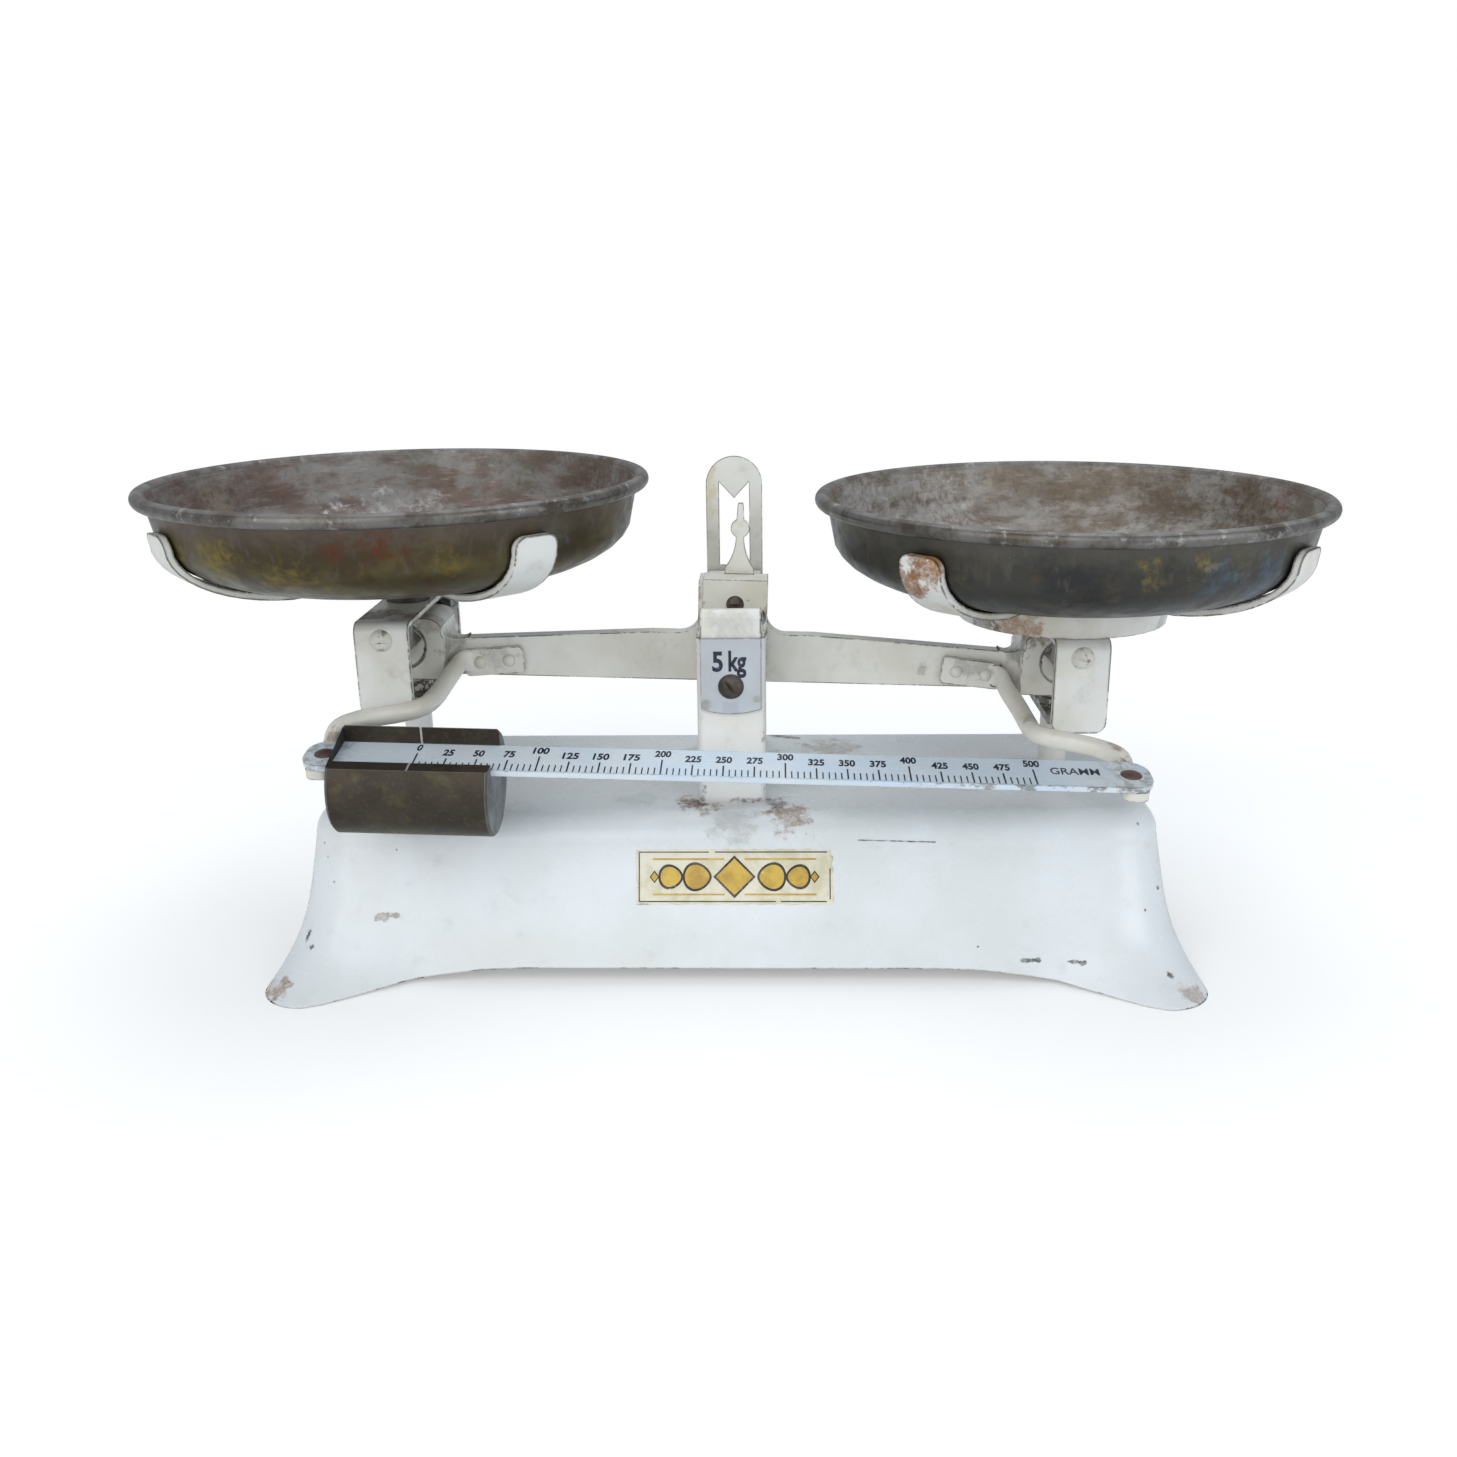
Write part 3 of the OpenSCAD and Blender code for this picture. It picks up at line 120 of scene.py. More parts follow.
class Finish:
    """One node material on Object coordinates. Sizes and places are in millimetres."""

    def __init__(self, name):
        self.mat = bpy.data.materials.new(name)
        self.mat.use_nodes = True
        self.tree = self.mat.node_tree
        self.tree.nodes.clear()
        coords = self.node("ShaderNodeTexCoord")
        self.at = coords.outputs["Object"]
        self.facing = coords.outputs["Normal"]
        self.shader = self.node("ShaderNodeBsdfPrincipled")
        self.edge = 0.0
        self.round = None
        self._rag = None
        out = self.node("ShaderNodeOutputMaterial")
        self.tree.links.new(self.shader.outputs[0], out.inputs[0])

    def node(self, kind, **settings):
        made = self.tree.nodes.new(kind)
        for key, value in settings.items():
            setattr(made, key, value)
        return made

    def sum(self, operation, a, b=0.0, c=0.0):
        made = self.node("ShaderNodeMath", operation=operation)
        for value, socket in zip((a, b, c), made.inputs):
            part(value, socket)
        return made.outputs[0]

    def times(self, *values):
        total = values[0]
        for value in values[1:]:
            total = self.sum("MULTIPLY", total, value)
        return total

    def most(self, a, b):
        return self.sum("MAXIMUM", a, b)

    def vec(self, operation, a, b=(0.0, 0.0, 0.0)):
        made = self.node("ShaderNodeVectorMath", operation=operation)
        part(a, made.inputs[0])
        part(b, made.inputs[1])
        plain = operation in ("LENGTH", "DISTANCE", "DOT_PRODUCT")
        return made.outputs["Value" if plain else "Vector"]

    def step(self, value, low, high):
        """0 at low and 1 at high, smooth between. Low may be the larger one."""
        made = self.node("ShaderNodeMapRange", interpolation_type="SMOOTHSTEP")
        for given, socket in zip((value, low, high, 0.0, 1.0), made.inputs):
            part(given, socket)
        return made.outputs[0]

    def mix(self, share, a, b):
        made = self.node("ShaderNodeMix", data_type="RGBA")
        part(share, made.inputs[0])
        part(a, made.inputs[6])
        part(b, made.inputs[7])
        return made.outputs[2]

    def over(self, tone, tint, *shares):
        """A tone with a tint laid over it by the product of some shares."""
        return self.mix(self.times(*shares), tone, tint)

    def cloud(self, low, high, *noise):
        """A noise cut to 0 below low and 1 above high."""
        return self.step(self.noise(*noise), low, high)

    def noise(self, size, detail=3.0, rough=0.55, seed=0.0, stretch=(1.0, 1.0, 1.0)):
        moved = self.node("ShaderNodeMapping")
        part(self.at, moved.inputs["Vector"])
        moved.inputs["Location"].default_value = (seed * 0.13, seed * 0.07, seed * 0.11)
        moved.inputs["Scale"].default_value = stretch
        made = self.node("ShaderNodeTexNoise")
        part(moved.outputs[0], made.inputs["Vector"])
        made.inputs["Scale"].default_value = 1000.0 / size
        made.inputs["Detail"].default_value = detail
        made.inputs["Roughness"].default_value = rough
        return made.outputs[0]

    def dots(self, size, radius, seed=0.0):
        """Round specks, one to a cell, most of them left out by a coarse noise."""
        moved = self.node("ShaderNodeMapping")
        part(self.at, moved.inputs["Vector"])
        moved.inputs["Location"].default_value = (seed * 0.05, seed * 0.09, seed * 0.03)
        made = self.node("ShaderNodeTexVoronoi")
        part(moved.outputs[0], made.inputs["Vector"])
        made.inputs["Scale"].default_value = 1000.0 / size
        near = self.step(made.outputs["Distance"], radius / size, radius / size * 0.6)
        return self.times(near, self.step(self.noise(size * 1.7, 1.0, 0.5, seed + 4), 0.55, 0.6))

    def along(self, place, direction):
        """Millimetres from a place along a direction."""
        away = self.vec("SUBTRACT", self.at, tuple(place))
        return self.vec("DOT_PRODUCT", away, tuple(1000.0 * Vector(direction)))

    def band(self, value, low, high, soft):
        """1 between low and high."""
        rise = self.step(value, low - soft, low + soft)
        return self.times(rise, self.step(value, high + soft, high - soft))

    def ragged(self):
        if self._rag is None:
            self._rag = self.sum("SUBTRACT", self.noise(4.5, 6.0, 0.65, 9.0), 0.5)
        return self._rag

    def mark(self, start, radius, end=None, ragged=1.0, hard=0.5):
        """1 inside a ragged spot, or along a ragged stroke from start to end."""
        a = Vector(start) / 1000.0
        if end is None:
            gap = self.vec("DISTANCE", self.at, tuple(a))
        else:
            run = Vector(end) / 1000.0 - a
            away = self.vec("SUBTRACT", self.at, tuple(a))
            share = self.vec("DOT_PRODUCT", away, tuple(run / run.length_squared))
            held = self.node("ShaderNodeClamp")
            part(share, held.inputs[0])
            scaled = self.node("ShaderNodeVectorMath", operation="SCALE")
            scaled.inputs[0].default_value = run
            part(held.outputs[0], scaled.inputs["Scale"])
            gap = self.vec("DISTANCE", away, scaled.outputs[0])
        shake = self.sum("MULTIPLY", self.ragged(), 3.0 * ragged * radius)
        gap = self.sum("MULTIPLY_ADD", gap, 1000.0, shake)
        return self.step(gap, radius, radius * hard)

    def rounding(self, radius):
        """Softens edges in the light, and finds them for wear."""
        bevel = self.node("ShaderNodeBevel", samples=6)
        bevel.inputs["Radius"].default_value = radius / 1000.0
        surface = self.node("ShaderNodeNewGeometry")
        self.round = bevel.outputs[0]
        turn = self.vec("DOT_PRODUCT", self.round, surface.outputs["Normal"])
        self.edge = self.step(turn, 0.997, 0.93)

    def corners(self, reach):
        """Ambient occlusion for painted shade: 1 deep in a corner, 0 in the open."""
        shade = self.node("ShaderNodeAmbientOcclusion", samples=6)
        shade.inputs["Distance"].default_value = reach / 1000.0
        return self.step(shade.outputs["AO"], 0.82, 0.35)

    def bump(self, height, depth):
        made = self.node("ShaderNodeBump")
        made.inputs["Strength"].default_value = 1.0
        made.inputs["Distance"].default_value = depth / 1000.0
        part(height, made.inputs["Height"])
        if self.round is not None:
            part(self.round, made.inputs["Normal"])
        part(made.outputs[0], self.shader.inputs["Normal"])

    def end(self, colour, rough, metal=0.0, coat=0.0):
        part(colour, self.shader.inputs["Base Color"])
        part(rough, self.shader.inputs["Roughness"])
        part(metal, self.shader.inputs["Metallic"])
        self.shader.inputs["Coat Weight"].default_value = coat
        self.shader.inputs["Coat Roughness"].default_value = 0.12
        return self.mat


def enamel(name, colour, aged, chips=0.5, dirt_and_shade=0.5, seed=0.0, radius=0.9, marks=(), specks=0.0,
           gloss=0.3, front=None):
    """Old brushed or dipped enamel: clouded white, smudges, painted shade in corners tinted like grime, chips down
    to rusty steel.
    """
    finish = Finish(name)
    finish.rounding(radius)
    tone = finish.mix(finish.cloud(0.40, 0.66, 46, 4, 0.6, seed), colour, aged)
    smudge = finish.cloud(0.52, 0.78, 9, 6, 0.68, seed + 1)
    tone = finish.mix(finish.times(smudge, 0.16 + 0.5 * dirt_and_shade), tone,
                      tuple(0.62 * c for c in aged))
    # Painted shade: darker in corners and between parts by ambient occlusion, broken up by noise and tinted like
    # grime
    spread = finish.cloud(0.30, 0.62, 3.5, 6, 0.7, seed + 2)
    corner_shade = finish.times(finish.corners(5.0), spread)
    tone = finish.over(tone, GRIME_AND_SHADE, corner_shade, dirt_and_shade)
    wear = 0.0
    for start, radius_of_mark, tint, strength, *more in marks:
        if len(start) == 2:
            start = on_front(front, *start)[0]
            if more and more[0]:
                more[0] = on_front(front, *more[0])[0]
        shape = finish.mark(start, radius_of_mark, *more)
        broken = finish.cloud(0.34, 0.60, 2.4, 6, 0.75, seed + 3)
        share = finish.times(shape, finish.sum("MULTIPLY_ADD", broken, 0.55, 0.45), strength)
        tone = finish.mix(share, tone, tint)
        wear = share if wear == 0.0 else finish.most(wear, share)
    bite = finish.sum("MULTIPLY_ADD", finish.sum("SUBTRACT", finish.noise(22, 2, 0.5, seed + 9), 0.5), 0.7,
                      finish.noise(3.0, 7, 0.72, seed + 5))
    level = finish.sum("MULTIPLY_ADD", finish.edge, 0.30, bite)
    reach = 0.91 - 0.13 * chips
    near_edge = finish.step(finish.edge, 0.02, 0.12)
    chipped = finish.times(near_edge, finish.step(level, reach, reach + 0.02))
    if specks:
        chipped = finish.most(chipped, finish.times(finish.dots(26, specks, seed), 0.9))
    steel = finish.mix(finish.cloud(0.42, 0.58, 1.6, 4, 0.6, seed + 6), SOOT_AND_SHADE, RUST_DARK)
    halo = finish.times(near_edge, finish.step(level, reach - 0.10, reach + 0.01))
    tone = finish.over(tone, GRIME_AND_SHADE, halo, 0.38)
    tone = finish.mix(chipped, tone, steel)
    rough = finish.sum("MULTIPLY_ADD", finish.most(chipped, smudge), 0.35, gloss)
    if wear != 0.0:
        rough = finish.sum("MULTIPLY_ADD", wear, 0.25, rough)
    relief = finish.sum("MULTIPLY_ADD", finish.noise(2.2, 4, 0.55, seed + 7), 0.28,
                        finish.times(finish.noise(14, 2, 0.5, seed + 8), 0.8))
    relief = finish.sum("SUBTRACT", relief, finish.times(chipped, 0.55))
    finish.bump(relief, 0.16)
    return finish.end(tone, rough, 0.0)


def bare_metal(name, colour, dark, rough=0.4, metal=0.85, rust=0.3, seed=0.0, radius=0.25, paint=0.0,
               paint_tone=(0.6, 0.58, 0.52)):
    """Old steel or iron: tarnish, painted shade in its corners, rust freckles and left-over paint."""
    finish = Finish(name)
    finish.rounding(radius)
    tone = finish.mix(finish.cloud(0.38, 0.66, 7, 6, 0.65, seed), colour, dark)
    tone = finish.over(tone, tuple(min(1.0, 1.8 * c) for c in colour), finish.edge, 0.35)
    freckle = finish.times(finish.cloud(0.50, 0.66, 2.0, 6, 0.7, seed + 1), rust)
    tone = finish.mix(freckle, tone, RUST_DARK)
    # Painted shade: darker in corners by ambient occlusion
    tone = finish.over(tone, SOOT_AND_SHADE, finish.corners(2.5), 0.75)
    left = finish.times(finish.cloud(0.62 - 0.3 * paint, 0.66 - 0.3 * paint, 2.6, 6, 0.7, seed + 2),
                        1.0 if paint else 0.0)
    tone = finish.mix(left, tone, paint_tone)
    dull = finish.most(freckle, left)
    shine = finish.sum("MULTIPLY_ADD", dull, -metal * 0.9, metal)
    finish.bump(finish.noise(0.9, 5, 0.6, seed + 3), 0.06)
    return finish.end(tone, finish.sum("MULTIPLY_ADD", dull, 0.25, rough), shine)


ROUND = {
    "base_shell", "post_front", "post_rear", "beam_casting", "pointer", "left_rod", "right_rod", "rod_rivets",
    "bar_rivets", "poise", "left_bowl", "right_bowl", "left_cradle", "right_cradle", "left_saddle",
    "right_saddle",
    "counter_disc", "left_saddle_screws", "right_saddle_screws", "pointer_screw", "capacity_screw",
}


BEAM = Matrix.Translation(KNIFE) @ Matrix.Rotation(TILT, 4, "Y") @ Matrix.Translation(-KNIFE)


def add(build, points, faces, place=None):
    """Adds points in millimetres, moved by a matrix in metres, and their faces to a mesh in work."""
    verts = [build.verts.new((place or Matrix()) @ (Vector(p) / 1000.0)) for p in points]
    for face in faces:
        build.faces.new([verts[i] for i in face])
    return verts


def tube(rings, close=True):
    """Faces that join rings of equal length, numbered one after another."""
    n = len(rings[0])
    points = [p for ring in rings for p in ring]
    faces = [(i * n + j, i * n + (j + 1) % n, (i + 1) * n + (j + 1) % n, (i + 1) * n + j)
             for i in range(len(rings) - 1) for j in range(n)]
    if close:
        faces += [tuple(range(n - 1, -1, -1)), tuple(range(len(points) - n, len(points)))]
    return points, faces


def round_rect(width, height, radius, x=0.0, y=0.0, steps=6):
    """Ring of a rectangle with rounded corners."""
    ring = []
    for k, (sx, sy) in enumerate(((1, 1), (-1, 1), (-1, -1), (1, -1))):
        for j in range(steps + 1):
            turn = math.radians(90 * (k + j / steps))
            ring.append((x + sx * (width / 2 - radius) + radius * math.cos(turn),
                         y + sy * (height / 2 - radius) + radius * math.sin(turn)))
    return ring


def base_form(build):
    """The pressed base: rounded upper edge, spread walls, four flared feet and an arched hem."""
    height, edge, sheet, corner = 56.0, 11.0, 1.8, 20.0
    half_x, half_y = 151.5, 51.5
    spread_x, spread_y, flare_x, flare_y = 6.0, 14.5, 5.5, 18.0
    hem, stem_at, stem_hole = 6.0, 120, 12

    def ends(count):
        return [math.cos(math.pi * m / (count + 1)) for m in range(1, count + 1)]

    stations = []
    for k, (sx, sy) in enumerate(((1, 1), (-1, 1), (-1, -1), (1, -1))):
        for j in range(11):
            turn = math.radians(90 * (k + j / 10))
            stations.append((sx, sy, math.cos(turn), math.sin(turn)))
        count = 21 if k % 2 == 0 else 11
        for m in ends(count):
            stations.append(((m, 1, 0, 1), (-1, m, -1, 0), (-m, -1, 0, -1), (1, -m, 1, 0))[k])

    def spot(s, x, y, r):
        return s[0] * (x - r) + s[2] * r, s[1] * (y - r) + s[3] * r

    def smooth(t):
        t = min(1.0, max(0.0, t))
        return t * t * (3 - 2 * t)

    def rise(s, reach_x, reach_y):
        """0 at the corners, and 1 beyond a reach along the long or the short sides."""
        if abs(s[2]) > 0.001 and abs(s[3]) > 0.001:
            return 0.0
        if abs(s[3]) > 0.001:
            return smooth((1 - abs(s[0])) * half_x / reach_x)
        return smooth((1 - abs(s[1])) * half_y / reach_y)

    def upper(angle, inset):
        a = math.radians(angle)
        e = edge * (1 - math.sin(a)) + inset * math.sin(a)
        z = height - edge + (edge - inset) * math.cos(a)
        return [(*spot(s, half_x - e, half_y - e, corner - e), z) for s in stations]

    def wall(t, inset, lip):
        ring = []
        for s in stations:
            c = 1 - rise(s, 27, 34)
            x, y = half_x + spread_x * t - inset, half_y + spread_y * t - inset
            p, q = spot(s, x, y, corner + 4 * t - inset), spot(s, x + flare_x, y + flare_y, 16.0)
            k = c * t ** 5 - c * lip
            ring.append((p[0] + (q[0] - p[0]) * k, p[1] + (q[1] - p[1]) * k,
                         (height - edge) * (1 - t) + hem * rise(s, 66, 42) * t))
        return ring

    steps = (0.18, 0.35, 0.5, 0.62, 0.72, 0.80, 0.86, 0.91, 0.95, 0.98, 1.0)
    angles = range(0, 91, 9)
    rings = [upper(a, 0) for a in angles] + [wall(t, 0, 0) for t in steps] + [wall(1, sheet, 0.16)]
    rings += [wall(t, sheet, 0) for t in reversed(steps[:-1])] + [upper(a, sheet) for a in reversed(angles)]
    verts = add(build, *tube(rings, False))
    n = len(stations)
    # Both sides of the top, with the holes that the stems pass through
    holes = []
    for z in (height, height - sheet):
        loops = [verts[:n] if z == height else verts[-n:]]
        for side in (-1, 1):
            turns = [math.radians(10 * k) for k in range(36)]
            loops.append(add(build, [(side * stem_at + stem_hole * math.cos(t), stem_hole * math.sin(t), z)
                                     for t in turns], []))
        holes.append(loops[1:])
        edges = [build.edges.get((a, b)) or build.edges.new((a, b))
                 for loop in loops for a, b in zip(loop, loop[1:] + loop[:1])]
        bmesh.ops.triangle_fill(build, edges=edges, use_beauty=True)
    for top, low in zip(*holes):
        for k in range(36):
            build.faces.new((top[k], top[(k + 1) % 36], low[(k + 1) % 36], low[k]))


def claws_form(bowl, *turns):
    """Four bent strips that follow the bowl's outside, on a disc."""
    def make(build):
        centre = Matrix.Translation(axis_of_bowl(bowl))
        floor_end, bend_run, bend_rise, lean, wide, tip, thin = 40, 43.36, 19.3, 0.205, 8.0, 4.2, (0.5, 3.1)
        sides = []
        for grow in thin:
            line = [(14.5, 0.5 - grow), (38.0, 0.5 - grow)]
            for i in range(1, 13):
                a = math.radians(7.5 * i)
                line.append((floor_end + (bend_run + grow) * math.sin(a),
                             (bend_rise + grow) * (1 - math.cos(a)) - grow))
            for k in range(9):
                z = 19.35 + tip * math.sin(math.radians(11.25 * k))
                line.append((floor_end + bend_run + grow + (z - bend_rise) * lean, z))
            sides.append(line)
        widths = [wide] * 14 + [wide / 2 + wide / 2 * math.cos(math.radians(11.25 * k)) for k in range(9)]
        rings = [[(*p, -w), (*p, w), (*q, w), (*q, -w)] for p, q, w in zip(*sides, widths)]
        rings = [[(r, y, z) for r, z, y in ring] for ring in rings]
        for turn in turns:
            around = Matrix.Rotation(math.radians(turn), 4, "Z")
            add(build, *tube(rings), centre @ around)
        disc = [[(15 * math.cos(0.1745 * k), 15 * math.sin(0.1745 * k), z) for k in range(36)]
                for z in (-2.5, -0.1)]
        add(build, *tube(disc), centre)
    return make


def rod_form(side, route):
    """A round rod, flat in its tab at the arm, that ends in a flat pad under the bar."""
    def make(build):
        flip = BEAM @ Matrix.Diagonal((side, 1, 1, 1))
        tab = [(x, y, z) for x, z in round_rect(22, 10, 1.6) for y in (0,)]
        lean = Matrix.Rotation(math.radians(5.5), 4, "Y")
        plate = [[tuple(lean @ Vector((x, 0, z)) + Vector((TAB_X + 11, y, 97.8))) for x, _, z in tab]
                 for y in (-5.5, -3.0)]
        add(build, *tube(plate), flip)
        start = [(TAB_X + 10, -4.25, 97.8, 4.6, 1.15), (TAB_X + 17, -4.25, 97.2, 4.6, 1.15)]
        end = [(131.4, -66.6, 79.9, 2.34, ROD), (131, -72.1, 80.7, 0.9, ROD)]
        points = start + [p if len(p) == 5 else (*p, ROD, ROD) for p in route] + end
        line = []
        for i in range(len(points) - 1):
            a, b, c, d = (points[min(len(points) - 1, max(0, i + k))] for k in (-1, 0, 1, 2))
            for t in (0, 0.2, 0.4, 0.6, 0.8):
                line.append([0.5 * (2 * q + (r - p) * t + (2 * p - 5 * q + 4 * r - s) * t * t
                                    + (3 * q - p - 3 * r + s) * t ** 3) for p, q, r, s in zip(a, b, c, d)])
        line.append(points[-1])
        rings = []
        for i, (x, y, z, high, thick) in enumerate(line):
            before, after = line[max(0, i - 1)], line[min(len(line) - 1, i + 1)]
            ahead = (Vector(after[:3]) - Vector(before[:3])).normalized()
            up = (Vector((0, 0, 1)) - ahead.z * ahead).normalized()
            out = up.cross(ahead)
            rings.append([tuple(Vector((x, y, z)) + up * high * math.cos(t) + out * thick * math.sin(t))
                          for t in (math.tau * j / 20 for j in range(20))])
        add(build, *tube(rings), flip)
        pad = [[(x, y, z) for x, y in round_rect(8.4, 15.4, 3, 131.7 * side, -1)] for z in (-4.3, -0.95)]
        add(build, *tube(pad), bar_matrix(bpy.context.scene.balance_sizes))
    return make


def poise_form(build):
    """The poise: a cylinder with a slot for the bar, a low lip in front and a high wall behind."""
    def ring(x, radius):
        wall_top, lip = 11.15, 8.5
        first = 180 - math.degrees(math.asin(wall_top / radius))
        last = 360 + math.degrees(math.acos(lip / radius))
        turns = [math.radians(first + (last - first) * k / 90) for k in range(91)]
        arc = [(radius * math.cos(t), radius * math.sin(t) - 8.3) for t in turns]
        slot = [(lip, 1.05), (9.15, 1.05), (9.15, -1.05), (-9.15, -1.05), (-9.15, 1.05), (-lip, 1.05),
                (-lip, 2.85)]
        return [(x, y, z) for y, z in arc + slot]
    rings = [ring(-127.0, 16.9), ring(-126.2, 17.7), ring(-75.8, 17.7), ring(-75.0, 16.9)]
    add(build, *tube(rings), bar_matrix(bpy.context.scene.balance_sizes))


def saddle_form(node):
    """The saddle's plates reach a little lower than in the CAD node."""
    longer = 0.0033

    def make(build):
        build.from_mesh(frame["nodes"][node].data)
        low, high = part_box(node)
        for vert in build.verts:
            if vert.co.z < (low[2] + high[2]) / 2:
                vert.co.z -= longer
        bmesh.ops.remove_doubles(build, verts=build.verts, dist=0.000001)
    return make


# Half thickness of the rods, and their routes in millimetres with the beam level
ROD = 3.25
RIGHT_ROUTE = [(98.5, -6.2, 96.6, 4, 2.1), (101, -11.2, 93), (103.8, -20, 89.2),
               (105, -31, 87.2), (105.2, -40, 87.2), (107.6, -46, 87.4),
               (114, -49.4, 87), (119.4, -51, 86.5), (125, -54, 86),
               (130.8, -60, 84.8)]
LEFT_ROUTE = [(99.4, -6.4, 98, 4, 2.1), (101.2, -11.8, 96.4), (103, -20.6, 93.4),
              (104.2, -31, 91.2), (105.2, -40, 91.2), (107.6, -46, 91.2),
              (113, -49.4, 90.6), (119, -51, 89.9), (124.8, -53.6, 89.4),
              (130.7, -60.6, 87.6)]
TAB_X = 77.0
FORMS = {
    "base_shell": base_form, "poise": poise_form, "left_rod": rod_form(-1, LEFT_ROUTE),
    "right_rod": rod_form(1, RIGHT_ROUTE), "left_saddle": saddle_form("left_saddle"),
    "right_saddle": saddle_form("right_saddle"), "left_cradle": claws_form("left_bowl", -46.5, -140, 40,
                                                                           133.5),
    "right_cradle": claws_form("right_bowl", -40, -133, 47, 140),
}


def shape(node):
    """The form that a piece shows in place of a CAD node: from FORMS, or else a merged copy."""
    build = bmesh.new()
    if node in FORMS:
        FORMS[node](build)
        bmesh.ops.triangulate(build, faces=[f for f in build.faces if len(f.verts) > 4],
                              ngon_method="EAR_CLIP")
        if not node.endswith("saddle"):
            bmesh.ops.recalc_face_normals(build, faces=build.faces)
    else:
        build.from_mesh(frame["nodes"][node].data)
        bmesh.ops.remove_doubles(build, verts=build.verts, dist=0.000001)
    build.normal_update()
    return build


def smooth_copy(node, material, angle=40.0):
    """A smooth-shaded piece that stands for a CAD node."""
    build = shape(node)
    limit = math.cos(math.radians(angle))
    areas = {face: face.calc_area() for face in build.faces}
    normals = []
    for face in build.faces:
        face.smooth = True
        face.material_index = 0
        for corner in face.loops:
            total = Vector()
            for other in corner.vert.link_faces:
                if other.normal.dot(face.normal) > limit:
                    total += other.normal * areas[other]
            normals.append(total.normalized() if total.length > 0 else face.normal.copy())
    mesh = bpy.data.meshes.new(node + "_smooth")
    build.to_mesh(mesh)
    build.free()
    mesh.materials.clear()
    mesh.materials.append(material)
    mesh.normals_split_custom_set(normals)
    piece = bpy.data.objects.new(node + "_smooth", mesh)
    bpy.context.scene.collection.objects.link(piece)
    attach(piece, BODY_OF[node])
    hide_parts(node)


def dress(material, *nodes):
    """Puts a finish on some CAD nodes, or on smooth copies of the round ones."""
    for name in nodes:
        if name in ROUND:
            smooth_copy(name, material)
            continue
        mesh = frame["nodes"][name].data
        if not mesh.materials:
            mesh.materials.append(material)
        for slot in range(len(mesh.materials)):
            mesh.materials[slot] = material


# Bowls


def on_bowl(centre, angle, height, radius=82.0):
    """A place on a bowl's wall in millimetres, by its angle and height."""
    turn = math.radians(angle)
    spot = centre * 1000.0
    return (spot.x + radius * math.cos(turn), spot.y + radius * math.sin(turn), height)


def placed(centre, marks):
    """Marks with their tuples of angle, height and radius turned into places. Vectors are places already."""
    for start, radius, *rest in marks:
        if not isinstance(start, Vector):
            start = on_bowl(centre, *start)
        # A colour is a tuple too, so only the third value after it can be an end
        if len(rest) > 2 and rest[2]:
            rest[2] = on_bowl(centre, *rest[2])
        yield (start, radius, *rest)


